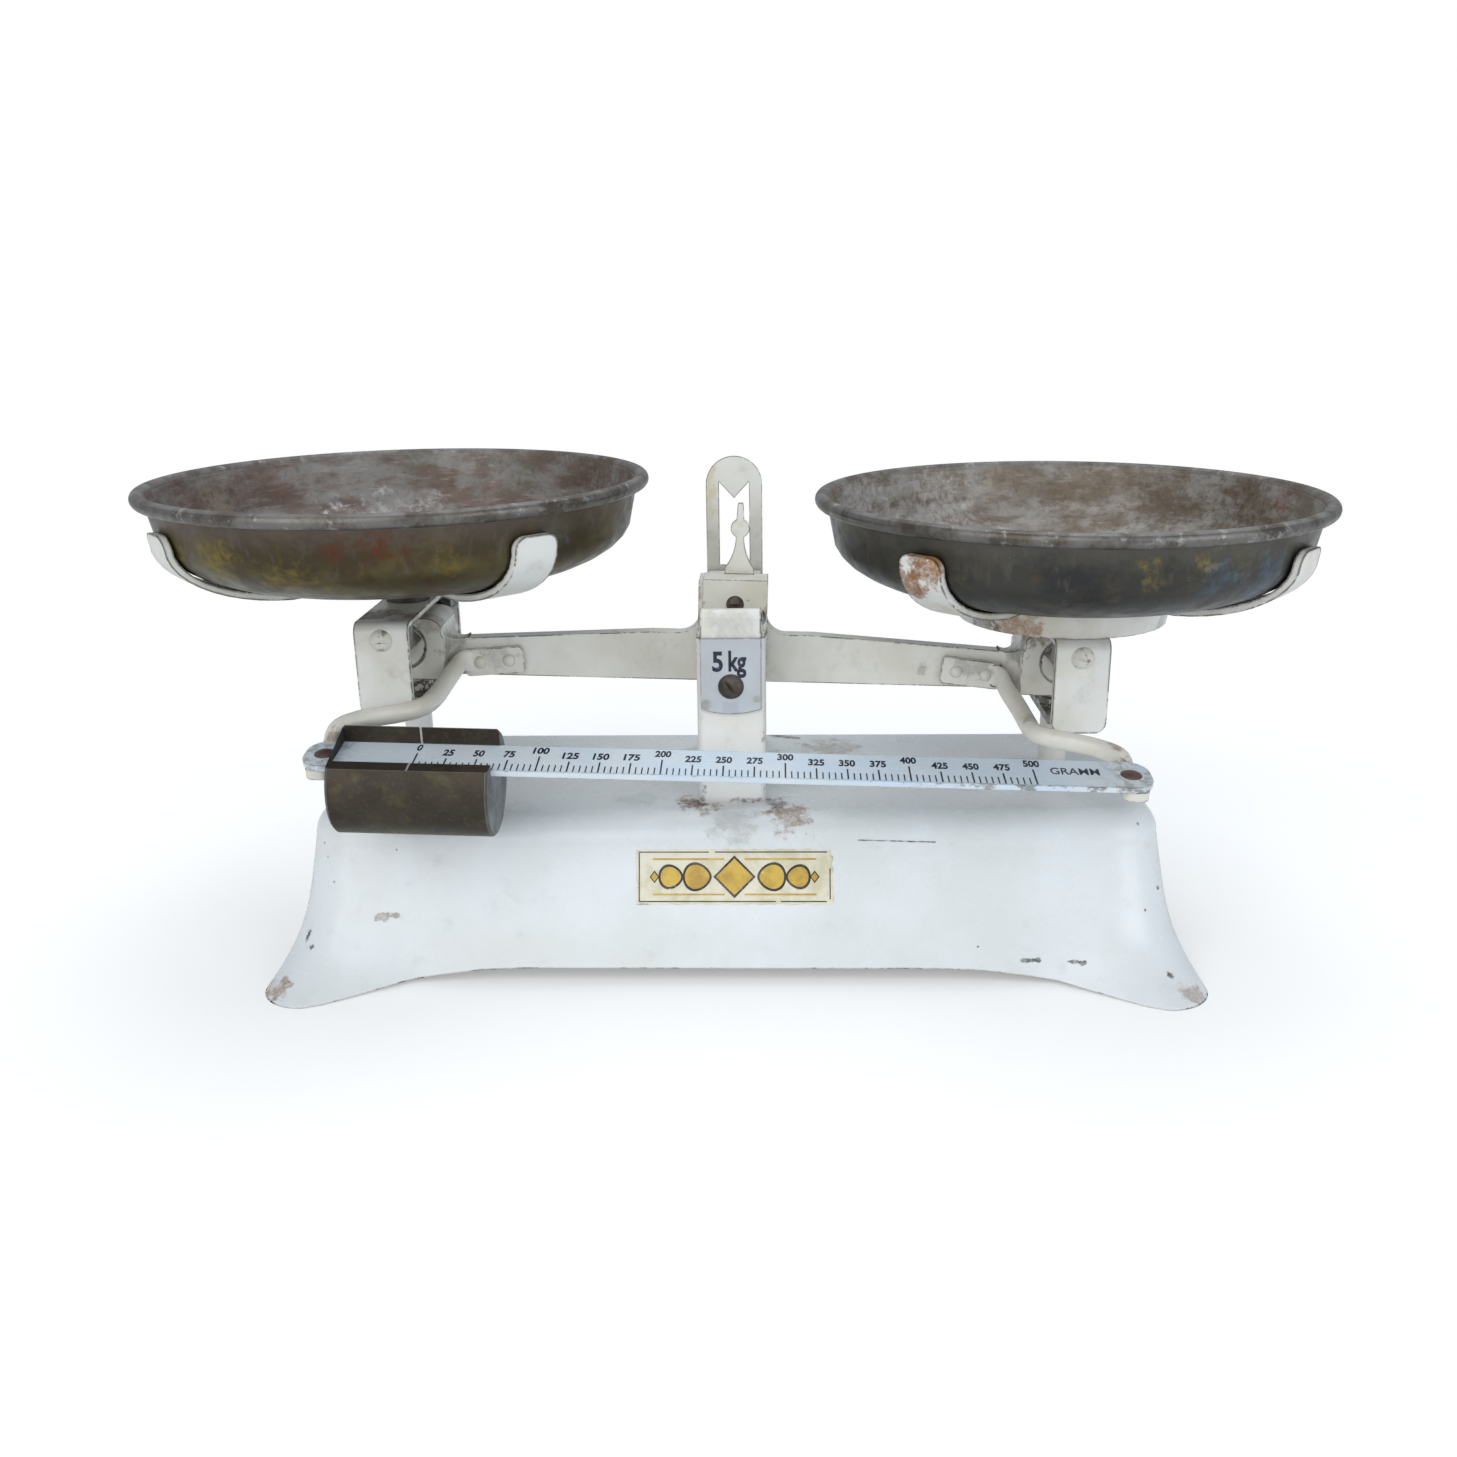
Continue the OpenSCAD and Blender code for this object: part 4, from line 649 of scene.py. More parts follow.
def bowl_metal(name, centre, dark, olive, brown, band_tone, inside, marks, crust, inner_marks):
    """Brass bowl, tarnished outside, stained and limed inside, with a grey rolled rim."""
    finish = Finish(name)
    finish.rounding(0.35)
    away = finish.vec("SUBTRACT", finish.at, tuple(centre))
    flat = finish.vec("MULTIPLY", away, (1.0, 1.0, 0.0))
    out = finish.vec("DOT_PRODUCT", finish.facing, finish.vec("NORMALIZE", flat))
    up = finish.vec("DOT_PRODUCT", finish.facing, (0.0, 0.0, 1.0))
    inner = finish.step(finish.sum("SUBTRACT", out, up), 0.05, -0.05)
    height = finish.vec("DOT_PRODUCT", away, (0.0, 0.0, 1000.0))
    reach = finish.sum("MULTIPLY", finish.vec("LENGTH", flat), 1000.0)
    # Outside
    tone = finish.mix(finish.cloud(0.40, 0.60, 26, 5, 0.6, 1, (1, 1, 1.5)), dark, olive)
    tone = finish.over(tone, brown, finish.cloud(0.48, 0.66, 8, 6, 0.66, 2), 0.6)
    drip = finish.cloud(0.56, 0.70, 4, 5, 0.6, 3, (1, 1, 0.22))
    tone = finish.over(tone, band_tone, drip, 0.45)
    under = finish.step(finish.sum("MULTIPLY_ADD", finish.ragged(), 12.0, height), 20.0, 29.0)
    tone = finish.over(tone, band_tone, under, 0.55)
    # Darker towards the foot of the bowl
    tone = finish.over(tone, SOOT_AND_SHADE, finish.step(height, 7.0, 1.0), 0.5)
    broken = finish.cloud(0.30, 0.62, 2.6, 6, 0.72, 13)
    for start, radius, tint, strength, *more in placed(centre, marks):
        soft = finish.mark(start, 1.25 * radius, *more, hard=0.0)
        tone = finish.over(tone, tint, soft, broken, strength)
    # Inside: four clouds laid over one another, drawn out round the wall
    floor = finish.mix(finish.cloud(0.40, 0.60, 24, 5, 0.62, 4, (1, 1, 2.4)), inside[0], inside[1])
    floor = finish.over(floor, inside[2], finish.cloud(0.50, 0.64, 11, 6, 0.66, 5, (0.7, 0.7, 2.6)), 0.75)
    floor = finish.over(floor, inside[3], finish.cloud(0.54, 0.70, 6, 7, 0.7, 6, (0.45, 0.45, 3.0)), 0.6)
    for start, radius, tint, strength, *more in placed(centre, inner_marks):
        soft = finish.mark(start, 1.15 * radius, *more, hard=0.1)
        floor = finish.over(floor, tint, soft, broken, 1.1 * strength)
    fine = finish.noise(1.9, 6, 0.72, 7)
    floor = finish.over(floor, SOOT_AND_SHADE, finish.step(fine, 0.50, 0.70), 0.35)
    tone = finish.mix(inner, tone, floor)
    # Rolled rim
    rim = finish.times(finish.step(reach, 84.6, 85.8), finish.step(height, 28.5, 30.0))
    bead = finish.mix(finish.cloud(0.40, 0.62, 13, 6, 0.68, 8), (0.20, 0.19, 0.18), (0.085, 0.07, 0.055))
    bead = finish.mix(finish.cloud(0.56, 0.68, 5, 6, 0.7, 9), bead, (0.36, 0.35, 0.35))
    tone = finish.over(tone, bead, rim, 0.85)
    # Lime crust in specks
    chalky = finish.times(rim, 0.18)
    for start, radius, strength in placed(centre, crust):
        chalky = finish.most(chalky, finish.times(finish.mark(start, radius, None, 0.6, 0.2), strength))
    level = finish.sum("MULTIPLY_ADD", chalky, -0.24, 0.80)
    grain = finish.noise(3.2, 6, 0.74, 10)
    lime = finish.step(grain, level, finish.sum("ADD", level, 0.03))
    lime = finish.times(lime, finish.step(chalky, 0.02, 0.10))
    tone = finish.mix(lime, tone, CHALK)
    cloudy = finish.cloud(0.35, 0.7, 7, 5, 0.6, 11)
    rough = finish.sum("MULTIPLY_ADD", cloudy, 0.18, 0.30)
    rough = finish.sum("MULTIPLY_ADD", finish.most(lime, finish.times(inner, 0.45)), 0.35, rough)
    metal = finish.sum("MULTIPLY_ADD", finish.most(lime, finish.times(inner, 0.55)), -0.7, 0.75)
    relief = finish.sum("MULTIPLY_ADD", fine, 0.22, finish.times(finish.noise(16, 3, 0.5, 12), 1.2))
    relief = finish.sum("MULTIPLY_ADD", lime, 0.9, relief)
    finish.bump(relief, 0.20)
    return finish.end(tone, rough, metal)


# Meshes

# Thickness of marks and numerals on the bar
INK = 0.00008


def link_piece(name, mesh, body):
    """Puts a finished mesh into the scene as a piece of a body."""
    piece = bpy.data.objects.new(name, mesh)
    bpy.context.scene.collection.objects.link(piece)
    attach(piece, body)


def new_piece(name, vertices, faces, material, body, slot):
    mesh = bpy.data.meshes.new(name)
    mesh.from_pydata([tuple(v) for v in vertices], [], faces)
    mesh.materials.append(material)
    mesh.update()
    link_piece(name, mesh, body)


def lettering(text, width, height, thick, bold=0.0, slant=0.0):
    """Text as closed faces, centred on the origin and stretched to a size. Metres."""
    curve = bpy.data.curves.new("lettering", "FONT")
    curve.body = text
    curve.size = 1.0
    curve.extrude = 0.5
    curve.offset = bold
    curve.shear = slant
    curve.resolution_u = 4
    holder = bpy.data.objects.new("lettering", curve)
    bpy.context.scene.collection.objects.link(holder)
    bpy.context.view_layer.update()
    graph = bpy.context.evaluated_depsgraph_get()
    mesh = bpy.data.meshes.new_from_object(holder.evaluated_get(graph))
    points = [v.co.copy() for v in mesh.vertices]
    faces = [tuple(f.vertices) for f in mesh.polygons]
    bpy.data.objects.remove(holder)
    bpy.data.curves.remove(curve)
    bpy.data.meshes.remove(mesh)
    low = [min(p[k] for p in points) for k in range(3)]
    high = [max(p[k] for p in points) for k in range(3)]
    size = (width, height, thick)
    for p in points:
        for k in range(3):
            p[k] = ((p[k] - low[k]) / (high[k] - low[k]) - 0.5) * size[k]
    return points, faces


def gather(pieces):
    """Joins lists of points and faces."""
    vertices, faces = [], []
    for points, sides in pieces:
        start = len(vertices)
        vertices.extend(points)
        faces.extend(tuple(start + i for i in side) for side in sides)
    return vertices, faces


# Settings that a user may change


def length(name, description, default):
    return bpy.props.FloatProperty(name=name, description=description, default=default, unit="LENGTH")


def colour(name, description, default):
    return bpy.props.FloatVectorProperty(name=name, description=description, default=default, subtype="COLOR")


class BalanceSizes(bpy.types.PropertyGroup):
    bar_front: length("Bar In Front", "From the knife line forward to the middle of the bar", 0.0736)
    bar_drop: length("Bar Drop", "From the knife line down to the middle of the bar", 0.0314)
    bar_lean: bpy.props.FloatProperty(
        name="Bar Lean", description="Angle by which the bar faces the viewer",
        default=math.radians(9.0), subtype="ANGLE")
    bar_thickness: length("Bar Thickness", "Thickness of the graduated bar", 0.0018)
    zero_place: length("Zero Mark", "Place of the zero mark along the bar", -0.101)
    mark_step: length("Mark Step", "Distance between two marks, 5 g", 0.002006)
    mark_count: bpy.props.IntProperty(
        name="Marks", description="Number of marks on the bar", default=101)
    mark_foot: length("Mark Foot", "Front end of the marks across the bar", -0.0080)
    mark_short: length("Short Mark", "Length of a 5 g mark", 0.0042)
    mark_middle: length("Middle Mark", "Length of a 25 g mark", 0.0068)
    mark_long: length("Long Mark", "Length of a 100 g mark", 0.0098)
    mark_width: length("Mark Width", "Width of a mark", 0.0004)
    numeral_height: length("Numeral Height", "Height of the numerals on the bar", 0.0044)
    numeral_width: length("Numeral Width", "Width that each figure takes", 0.00178)
    panel_width: length("Panel Width", "Width of the plain panel on the base", 0.0685)
    panel_height: length("Panel Height", "Height of the plain panel on the base", 0.0193)


class BalanceColours(bpy.types.PropertyGroup):
    base_white: colour("Base White", "Enamel of the base", (0.80, 0.835, 0.86))
    cream: colour("Cream", "Aged paint of the beam and rods", (0.80, 0.79, 0.74))
    post_white: colour("Post White", "Paint of posts, saddles and claws", (0.78, 0.785, 0.765))
    bar_blue: colour("Bar Blue", "Enamel of the graduated bar", (0.62, 0.72, 0.82))
    ink: colour("Ink", "Marks and numerals", (0.012, 0.016, 0.036))
    bronze: colour("Bronze", "Tarnished metal of the poise", (0.056, 0.044, 0.031))
    panel_cream: colour("Panel Cream", "Field of the panel on the base", (0.80, 0.76, 0.62))
    gold: colour("Gold", "Ornament of the panel", (0.68, 0.46, 0.075))


def bar_matrix(sizes):
    """From the bar's own frame, x along it and y across it, to the model."""
    over = Matrix.Translation(KNIFE)
    tilt = Matrix.Rotation(TILT, 4, "Y")
    place = Matrix.Translation((0.0, -sizes.bar_front, -sizes.bar_drop))
    return over @ tilt @ place @ Matrix.Rotation(sizes.bar_lean, 4, "X")


# Operators


class BALANCE_OT_stage(bpy.types.Operator):
    """Floor, light and the camera of the photograph"""

    bl_idname = "balance.stage"
    bl_label = "Stage"

    def execute(self, context):
        scene = context.scene
        scene.view_settings.view_transform = "Standard"
        self.floor(scene)
        self.light(scene)
        self.camera(scene)
        return {"FINISHED"}

    def floor(self, scene):
        mesh = bpy.data.meshes.new("floor")
        r = 8.0
        fade_start, fade_end, glow_share = 210.0, 420.0, 0.30
        mesh.from_pydata([(-r, -r, 0), (r, -r, 0), (r, r, 0), (-r, r, 0)], [], [(0, 1, 2, 3)])
        floor = bpy.data.objects.new("floor", mesh)
        scene.collection.objects.link(floor)
        finish = Finish("pale_floor")
        tree = finish.tree
        grain = finish.mix(finish.cloud(0.3, 0.7, 600, 2), (0.80, 0.80, 0.80), (0.82, 0.82, 0.82))
        finish.end(grain, 0.9)
        path = finish.node("ShaderNodeLightPath")
        glow = finish.node("ShaderNodeEmission")
        glow.inputs["Color"].default_value = (1, 1, 1, 1)
        # Seen by the camera the floor fades to plain white away from the object
        away = finish.sum("MULTIPLY", finish.vec("LENGTH", finish.at), 1000.0)
        far = finish.times(finish.step(away, fade_start, fade_end), path.outputs["Is Camera Ray"])
        part(finish.sum("MULTIPLY_ADD", far, 1 - glow_share,
                        finish.times(path.outputs["Is Camera Ray"], glow_share)),
             glow.inputs["Strength"])
        dark = finish.node("ShaderNodeEmission")
        dark.inputs["Strength"].default_value = 0.0
        fade = finish.node("ShaderNodeMixShader")
        part(far, fade.inputs[0])
        part(finish.shader.outputs[0], fade.inputs[1])
        part(dark.outputs[0], fade.inputs[2])
        add = finish.node("ShaderNodeAddShader")
        part(fade.outputs[0], add.inputs[0])
        part(glow.outputs[0], add.inputs[1])
        out = next(n for n in tree.nodes if n.type == "OUTPUT_MATERIAL")
        tree.links.new(add.outputs[0], out.inputs[0])
        mesh.materials.append(finish.mat)

    def light(self, scene):
        world = bpy.data.worlds.new("studio")
        world.use_nodes = True
        scene.world = world
        tree = world.node_tree
        tree.nodes.clear()
        path = tree.nodes.new("ShaderNodeLightPath")
        seen = tree.nodes.new("ShaderNodeMath")
        seen.operation = "MAXIMUM"
        tree.links.new(path.outputs["Is Camera Ray"], seen.inputs[0])
        tree.links.new(path.outputs["Is Transmission Ray"], seen.inputs[1])
        soft = tree.nodes.new("ShaderNodeBackground")
        soft.inputs[0].default_value = (0.86, 0.93, 1.0, 1)
        soft.inputs[1].default_value = 0.50
        white = tree.nodes.new("ShaderNodeBackground")
        white.inputs[0].default_value = (1, 1, 1, 1)
        white.inputs[1].default_value = 1.0
        mix = tree.nodes.new("ShaderNodeMixShader")
        tree.links.new(seen.outputs[0], mix.inputs[0])
        tree.links.new(soft.outputs[0], mix.inputs[1])
        tree.links.new(white.outputs[0], mix.inputs[2])
        out = tree.nodes.new("ShaderNodeOutputWorld")
        tree.links.new(mix.outputs[0], out.inputs[0])
        for name, place, size, power, colour in (
            ("key", (-0.9, -1.7, 1.25), 2.2, 23.0, (1.0, 0.985, 0.96)),
            ("fill", (1.5, -1.3, 0.8), 1.3, 11.0, (0.93, 0.97, 1.0)),
            ("top", (0.1, 0.5, 1.9), 1.4, 13.0, (0.90, 0.95, 1.0)),
        ):
            lamp = bpy.data.lights.new(name, "AREA")
            lamp.shape = "SQUARE"
            lamp.size = size
            lamp.energy = power
            lamp.color = colour
            holder = bpy.data.objects.new(name, lamp)
            holder.location = place
            aim = Vector((0.0, 0.0, 0.09)) - Vector(place)
            holder.rotation_euler = aim.to_track_quat("-Z", "Y").to_euler()
            scene.collection.objects.link(holder)

    def camera(self, scene):
        yaw, pitch, roll = (math.radians(a) for a in (-1.797, 17.871, -0.769))
        ahead = Vector((math.sin(yaw) * math.cos(pitch), math.cos(yaw) * math.cos(pitch), -math.sin(pitch)))
        level = Vector((math.cos(yaw), -math.sin(yaw), 0.0))
        above = level.cross(ahead)
        right = level * math.cos(roll) + above * math.sin(roll)
        above = above * math.cos(roll) - level * math.sin(roll)
        lens = bpy.data.cameras.new("camera")
        lens.sensor_width = 36.0
        lens.sensor_fit = "HORIZONTAL"
        lens.lens = 33.84
        lens.clip_start = 0.01
        lens.clip_end = 50.0
        holder = bpy.data.objects.new("camera", lens)
        turn = Matrix((right, above, -ahead)).transposed().to_4x4()
        holder.matrix_world = Matrix.Translation((0.01326, -0.49321, 0.23148)) @ turn
        scene.collection.objects.link(holder)
        scene.camera = holder


class BALANCE_OT_enamels(bpy.types.Operator):
    """Enamel and old paint on the base, posts, beam, rods, saddles and claws"""

    bl_idname = "balance.enamels"
    bl_label = "Enamels"

    def execute(self, context):
        tones = context.scene.balance_colours
        white, cream, post = (tuple(c) for c in (tones.base_white, tones.cream, tones.post_white))
        old_cream = (0.70, 0.68, 0.60)
        base_marks = [
            ((-12.9, -36.0, 56), 9, RUST, 0.75), ((20.3, -44.4, 55.5), 9, RUST, 0.70),
            ((16, -36, 56), 7, RUST_DARK, 0.8), ((-14, -37, 56), 6, RUST_DARK, 0.8),
            ((37.4, 24.9, 56), 13, RUST, 0.45), ((16, 14, 56), 9, RUST_DARK, 0.5),
            ((-16, 16, 56), 10, RUST, 0.4), ((0, -47, 55.5), 12, GRIME_AND_SHADE, 0.3),
            ((-33.4, -32.7, 56), 9, SMOKE_BLUE, 0.30, None, 1.2),
            ((43.9, -51.0, 47.9), 0.35, SOOT_AND_SHADE, 0.85, (70.6, -51.2, 47.2), 0.9),
            ((76.0, -51.6, 46.8), 0.3, SOOT_AND_SHADE, 0.7, (84.0, -51.9, 46.4), 1.0),
            ((-150.5, 14.5), 1.9, SOOT_AND_SHADE, 0.95, None, 1.6), ((-148, 11.8), 1.3, SOOT_AND_SHADE, 0.9, None, 1.6),
            ((-145, 45.3), 0.8, SOOT_AND_SHADE, 0.9, None, 1.6), ((-143.3, 41.3), 0.7, SOOT_AND_SHADE, 0.9, None, 1.6),
            ((-140.5, 33.3), 0.6, SOOT_AND_SHADE, 0.85, None, 1.6), ((-117.7, 44.6), 0.7, SOOT_AND_SHADE, 0.9, None, 1.6),
            ((-124.6, 22.2), 1.6, GRIME_AND_SHADE, 0.7, (-118, 23.0), 1.6),
            ((141.2, 52.0), 1.1, RUST_DARK, 0.8, None, 1.5),
            ((149.7, 28.5), 0.9, SOOT_AND_SHADE, 0.9, None, 1.6), ((143.5, 23.6), 0.7, SOOT_AND_SHADE, 0.9, None, 1.6),
            ((149.6, 5.8), 1.4, RUST_DARK, 0.9, None, 1.6),
            ((13.5, 41.8, 56), 2.0, RUST_DARK, 0.8, (24.5, 37.8, 56), 1.2),
            ((100, 8.4), 1.1, SOOT_AND_SHADE, 0.9, (106, 8.5), 1.6), ((116, 8.6), 0.9, SOOT_AND_SHADE, 0.9, (121, 8.6), 1.6),
            ((-156, -74, 1.5), 6, RUST, 0.75), ((-163, -70, 2), 5, RUST, 0.5),
            ((156, -76, 1.0), 6, RUST, 0.55), ((165, -66, 3), 4, RUST, 0.5),
            ((156, 76, 1.0), 6, RUST, 0.55), ((-156, 76, 1.0), 6, RUST, 0.55),
            ((-148, -48, 20), 2.6, GRIME_AND_SHADE, 0.35), ((-129, -56, 24), 1.4, SOOT_AND_SHADE, 0.6, None, 1.6),
            ((-118, -57, 25), 0.8, SOOT_AND_SHADE, 0.7, None, 1.6), ((120, -42, 47), 7, RUST, 0.25),
            ((-40, -46, 53), 0.7, SOOT_AND_SHADE, 0.8, None, 1.4), ((30, -49, 51), 0.6, SOOT_AND_SHADE, 0.8, None, 1.4),
            ((-128, 20, 44), 8, GRIME_AND_SHADE, 0.3), ((128, 25, 44), 7, RUST, 0.25),
        ]
        dress(enamel("base_enamel", white, tuple(c * k for c, k in zip(white, (0.94, 0.93, 0.90))),
                     chips=0.30,
                     dirt_and_shade=0.10, seed=1, radius=0.8, marks=base_marks, specks=0.55, gloss=0.25,
                     front="base_shell"),
              "base_shell")
        post_marks = [
            ((0, -37.5, 57), 2.0, RUST_DARK, 0.8, (22, -37.5, 57), 0.8),
            ((-11, -37.5, 58), 2.4, RUST_DARK, 0.8, (-11, -37.5, 70), 1.2),
            ((12, -37, 60), 1.6, RUST, 0.6, (12, -37, 84), 1.6),
            ((-12, -36, 90), 0.8, SOOT_AND_SHADE, 0.8, None, 1.4), ((-11.5, -37, 98), 1.4, RUST, 0.5),
            ((11, -37, 118), 1.2, SOOT_AND_SHADE, 0.7, None, 1.4), ((0, -36, 121), 9, GREY_DIRT_AND_SHADE, 0.25),
        ]
        dress(enamel("post_paint", post, (0.70, 0.68, 0.60), chips=0.75, dirt_and_shade=0.45, seed=2, radius=1.3,
                     marks=post_marks,
                     specks=0.35, gloss=0.26), "post_front", "post_rear", "tie_rivets")
        frame_marks = [
            ((-11, 34, 150), 5, YELLOWED, 0.45, (-11, 34, 166), 0.9), ((-12, 34, 133), 2, RUST_DARK, 0.8),
            ((-11, 34, 142), 1.2, RUST, 0.7), ((11, 34, 140), 1.0, SOOT_AND_SHADE, 0.7),
            ((-7, 34, 176), 1.1, SOOT_AND_SHADE, 0.85, (5, 34, 178.5), 1.2),
        ]
        dress(enamel("frame_paint", (0.79, 0.78, 0.73), (0.68, 0.66, 0.56), chips=1.3, dirt_and_shade=0.45, seed=3,
                     radius=0.7, marks=frame_marks, specks=0.4), "index_frame")
        beam_marks = [
            ((-26, -7, 103.5), 1.0, SOOT_AND_SHADE, 0.9, (-22, -7, 103.3), 1.4),
            ((-14, -9, 118), 2.2, RUST, 0.75, (-13.0, -9, 128), 1.0),
            ((-12.5, -9, 116), 1.6, SOOT_AND_SHADE, 0.7, None, 1.4),
            ((-60, -6, 108), 0.7, SOOT_AND_SHADE, 0.8, None, 1.4),
            ((52, -6, 105.6), 0.7, SOOT_AND_SHADE, 0.85, (56, -6, 105.2), 1.4),
            # The grime and grey patches on the hub ends, near x = ±104 to ±110 mm, are painted shadow under the
            # bowls
            ((70, -6, 96), 3.5, GRIME_AND_SHADE, 0.5), ((107, -10, 112), 9, GRIME_AND_SHADE, 0.75),
            ((104, -6, 104), 7, GREY_DIRT_AND_SHADE, 0.7),
            ((-104, -6, 108), 7, GREY_DIRT_AND_SHADE, 0.6), ((-110, -10, 118), 8, GRIME_AND_SHADE, 0.55),
            ((12, -9, 112), 1.6, RUST_DARK, 0.6), ((14, -7, 110), 2.2, GRIME_AND_SHADE, 0.5),
        ]
        dress(enamel("beam_paint", cream, old_cream, chips=0.95, dirt_and_shade=0.45, seed=4, marks=beam_marks,
                     specks=0.4,
                     gloss=0.28), "beam_casting")
        pointer_marks = [
            ((-8, -11, 127), 0.8, SOOT_AND_SHADE, 0.8, None, 1.6), ((6, -11, 124), 0.7, SOOT_AND_SHADE, 0.8, None, 1.6),
            ((0, -11, 118), 4.0, GRIME_AND_SHADE, 0.6, (14, -11, 117.5), 0.8), ((-10.5, -11, 123), 1.4, RUST, 0.6),
            ((0, 1, 152), 5, YELLOWED, 0.25),
        ]
        dress(enamel("pointer_paint", (0.78, 0.77, 0.71), (0.68, 0.65, 0.54), chips=1.15, dirt_and_shade=0.5, seed=5,
                     radius=0.7, marks=pointer_marks, specks=0.35), "pointer")
        rod_marks = [
            ((131, -66, 86), 7, RUST_DARK, 0.85), ((128, -60, 87), 5, RUST, 0.6),
            ((-131, -66, 91), 5, GRIME_AND_SHADE, 0.8),
            ((105, -34, 86.5), 5, GREY_DIRT_AND_SHADE, 0.5), ((-106, -36, 91), 5, GREY_DIRT_AND_SHADE, 0.35),
            ((88, -9, 99), 9, GREY_DIRT_AND_SHADE, 0.45), ((-86, -9, 103), 8, GREY_DIRT_AND_SHADE, 0.3),
        ]
        dress(enamel("rod_paint", (0.76, 0.74, 0.68), (0.64, 0.60, 0.50), chips=0.7, dirt_and_shade=0.5, seed=6,
                     marks=rod_marks, gloss=0.18), "left_rod", "right_rod")
        dress(enamel("rivet_paint", (0.72, 0.70, 0.64), (0.60, 0.56, 0.46), chips=0.5, dirt_and_shade=0.6, seed=7,
                     radius=0.3, gloss=0.22), "rod_rivets")
        left_top = [
            ((-123.4, -26.3, 123.6), 9, RUST_DARK, 0.75), ((-110, -28, 123.6), 6, RUST, 0.6),
            ((-130, -29, 108), 3, YELLOWED, 0.35), ((-111, -30, 95), 5, GRIME_AND_SHADE, 0.3),
            ((-104, -24, 121), 4, RUST_DARK, 0.7), ((-137, -20, 120), 3, RUST_DARK, 0.6),
        ]
        dress(enamel("left_saddle_paint", post, (0.66, 0.64, 0.56), chips=1.25, dirt_and_shade=0.48, seed=8, radius=1.3,
                     marks=left_top,
                     specks=0.4), "left_saddle")
        right_top = [
            ((112, -29, 116), 3, RUST_DARK, 0.7, (118, -29, 116), 1.0), ((131, -29, 96), 2, YELLOWED, 0.3),
            ((108, -26, 112), 4, RUST, 0.5),
        ]
        dress(enamel("right_saddle_paint", post, (0.68, 0.66, 0.58), chips=1.15, dirt_and_shade=0.45, seed=9,
                     radius=1.3,
                     marks=right_top, specks=0.4), "right_saddle")
        dress(enamel("stem_paint", (0.80, 0.80, 0.78), (0.66, 0.64, 0.58), chips=0.2, dirt_and_shade=0.3, seed=10,
                     marks=[((118, -9, 60), 0.8, RUST_DARK, 0.8, (118, -9, 80), 1.2)]), "left_stem",
                     "right_stem")
        dress(enamel("disc_paint", post, (0.66, 0.62, 0.54), chips=0.6, dirt_and_shade=0.4, seed=11,
                     marks=[((98, -30, 117.5), 12, RUST, 0.75), ((88, -22, 117), 8, RUST_DARK, 0.6),
                            ((150, -22, 118), 5, GRIME_AND_SHADE, 0.4)]), "counter_disc")
        claw_left = [((-174, -50, 150), 3, RUST_DARK, 0.5), ((-80, -55, 158), 2, YELLOWED, 0.3)]
        dress(enamel("left_claw_paint", (0.80, 0.80, 0.77), (0.68, 0.66, 0.58), chips=1.45, dirt_and_shade=0.35,
                     seed=12,
                     radius=1.4, marks=claw_left, specks=0.4), "left_cradle")
        claw_right = [
            ((63, -63, 146), 9, RUST, 0.95), ((60, -58, 140), 7, RUST, 0.85),
            ((66, -66, 150), 5, (0.45, 0.22, 0.07), 0.9),
            ((72, -56, 131), 6, YELLOWED, 0.4),
        ]
        dress(enamel("right_claw_paint", (0.80, 0.79, 0.75), (0.66, 0.62, 0.52), chips=1.3, dirt_and_shade=0.4, seed=13,
                     radius=1.4, marks=claw_right, specks=0.4), "right_cradle")
        plate_marks = [((-8.5, -37.5, 93), 2.2, GREY_DIRT_AND_SHADE, 0.5), ((9, -37.5, 95), 1.6, GREY_DIRT_AND_SHADE, 0.4),
                       ((0, -37.5, 91.5), 4, SMOKE_BLUE, 0.4)]
        dress(enamel("capacity_enamel", (0.53, 0.565, 0.61), (0.47, 0.49, 0.51), chips=0.9, dirt_and_shade=0.35,
                     seed=14,
                     radius=0.5, marks=plate_marks, specks=0.35, gloss=0.2), "capacity_plate")
        return {"FINISHED"}


class BALANCE_OT_steels(bpy.types.Operator):
    """Knives, bearings, screws, rivets and the hidden iron pieces"""

    bl_idname = "balance.steels"
    bl_label = "Steels"

    def execute(self, context):
        dress(bare_metal("dark_steel", (0.16, 0.15, 0.14), (0.07, 0.06, 0.05), 0.5, 0.7, 0.45, 20),
              "post_tie", "stay_bracket", "stay_bar", "left_spacer")
        dress(bare_metal("pin_steel", (0.36, 0.35, 0.34), (0.16, 0.14, 0.12), 0.35, 0.9, 0.35, 21),
              "curl_pins", "stay_pivot", "stay_pins")
        dress(bare_metal("bearing_steel", (0.30, 0.29, 0.28), (0.12, 0.11, 0.10), 0.38, 0.85, 0.35, 22),
              "centre_bearings", "left_bearings", "right_bearings")
        dress(bare_metal("knife_steel", (0.42, 0.41, 0.40), (0.20, 0.18, 0.16), 0.30, 0.95, 0.3, 23),
              "centre_knife", "end_knives")
        dress(bare_metal("screw_steel", (0.125, 0.105, 0.09), (0.055, 0.045, 0.038), 0.45, 0.6, 0.6, 24),
              "capacity_screw", "pointer_screw", "frame_screws", "left_cradle_bolt", "right_cradle_bolt")
        dress(bare_metal("saddle_screw_metal", (0.42, 0.41, 0.38), (0.22, 0.20, 0.17), 0.42, 0.55, 0.35, 25,
                         paint=0.75,
                         paint_tone=(0.70, 0.68, 0.62)),
              "left_saddle_screws", "right_saddle_screws")
        dress(bare_metal("yoke_steel", (0.24, 0.22, 0.20), (0.10, 0.085, 0.07), 0.45, 0.7, 0.5, 26,
                         paint=0.25),
              "left_yoke", "right_yoke", "left_stem_nut", "right_stem_nut")
        dress(bare_metal("bar_rivet_metal", (0.20, 0.135, 0.12), (0.095, 0.06, 0.055), 0.42, 0.55, 0.45, 27),
              "bar_rivets")
        return {"FINISHED"}


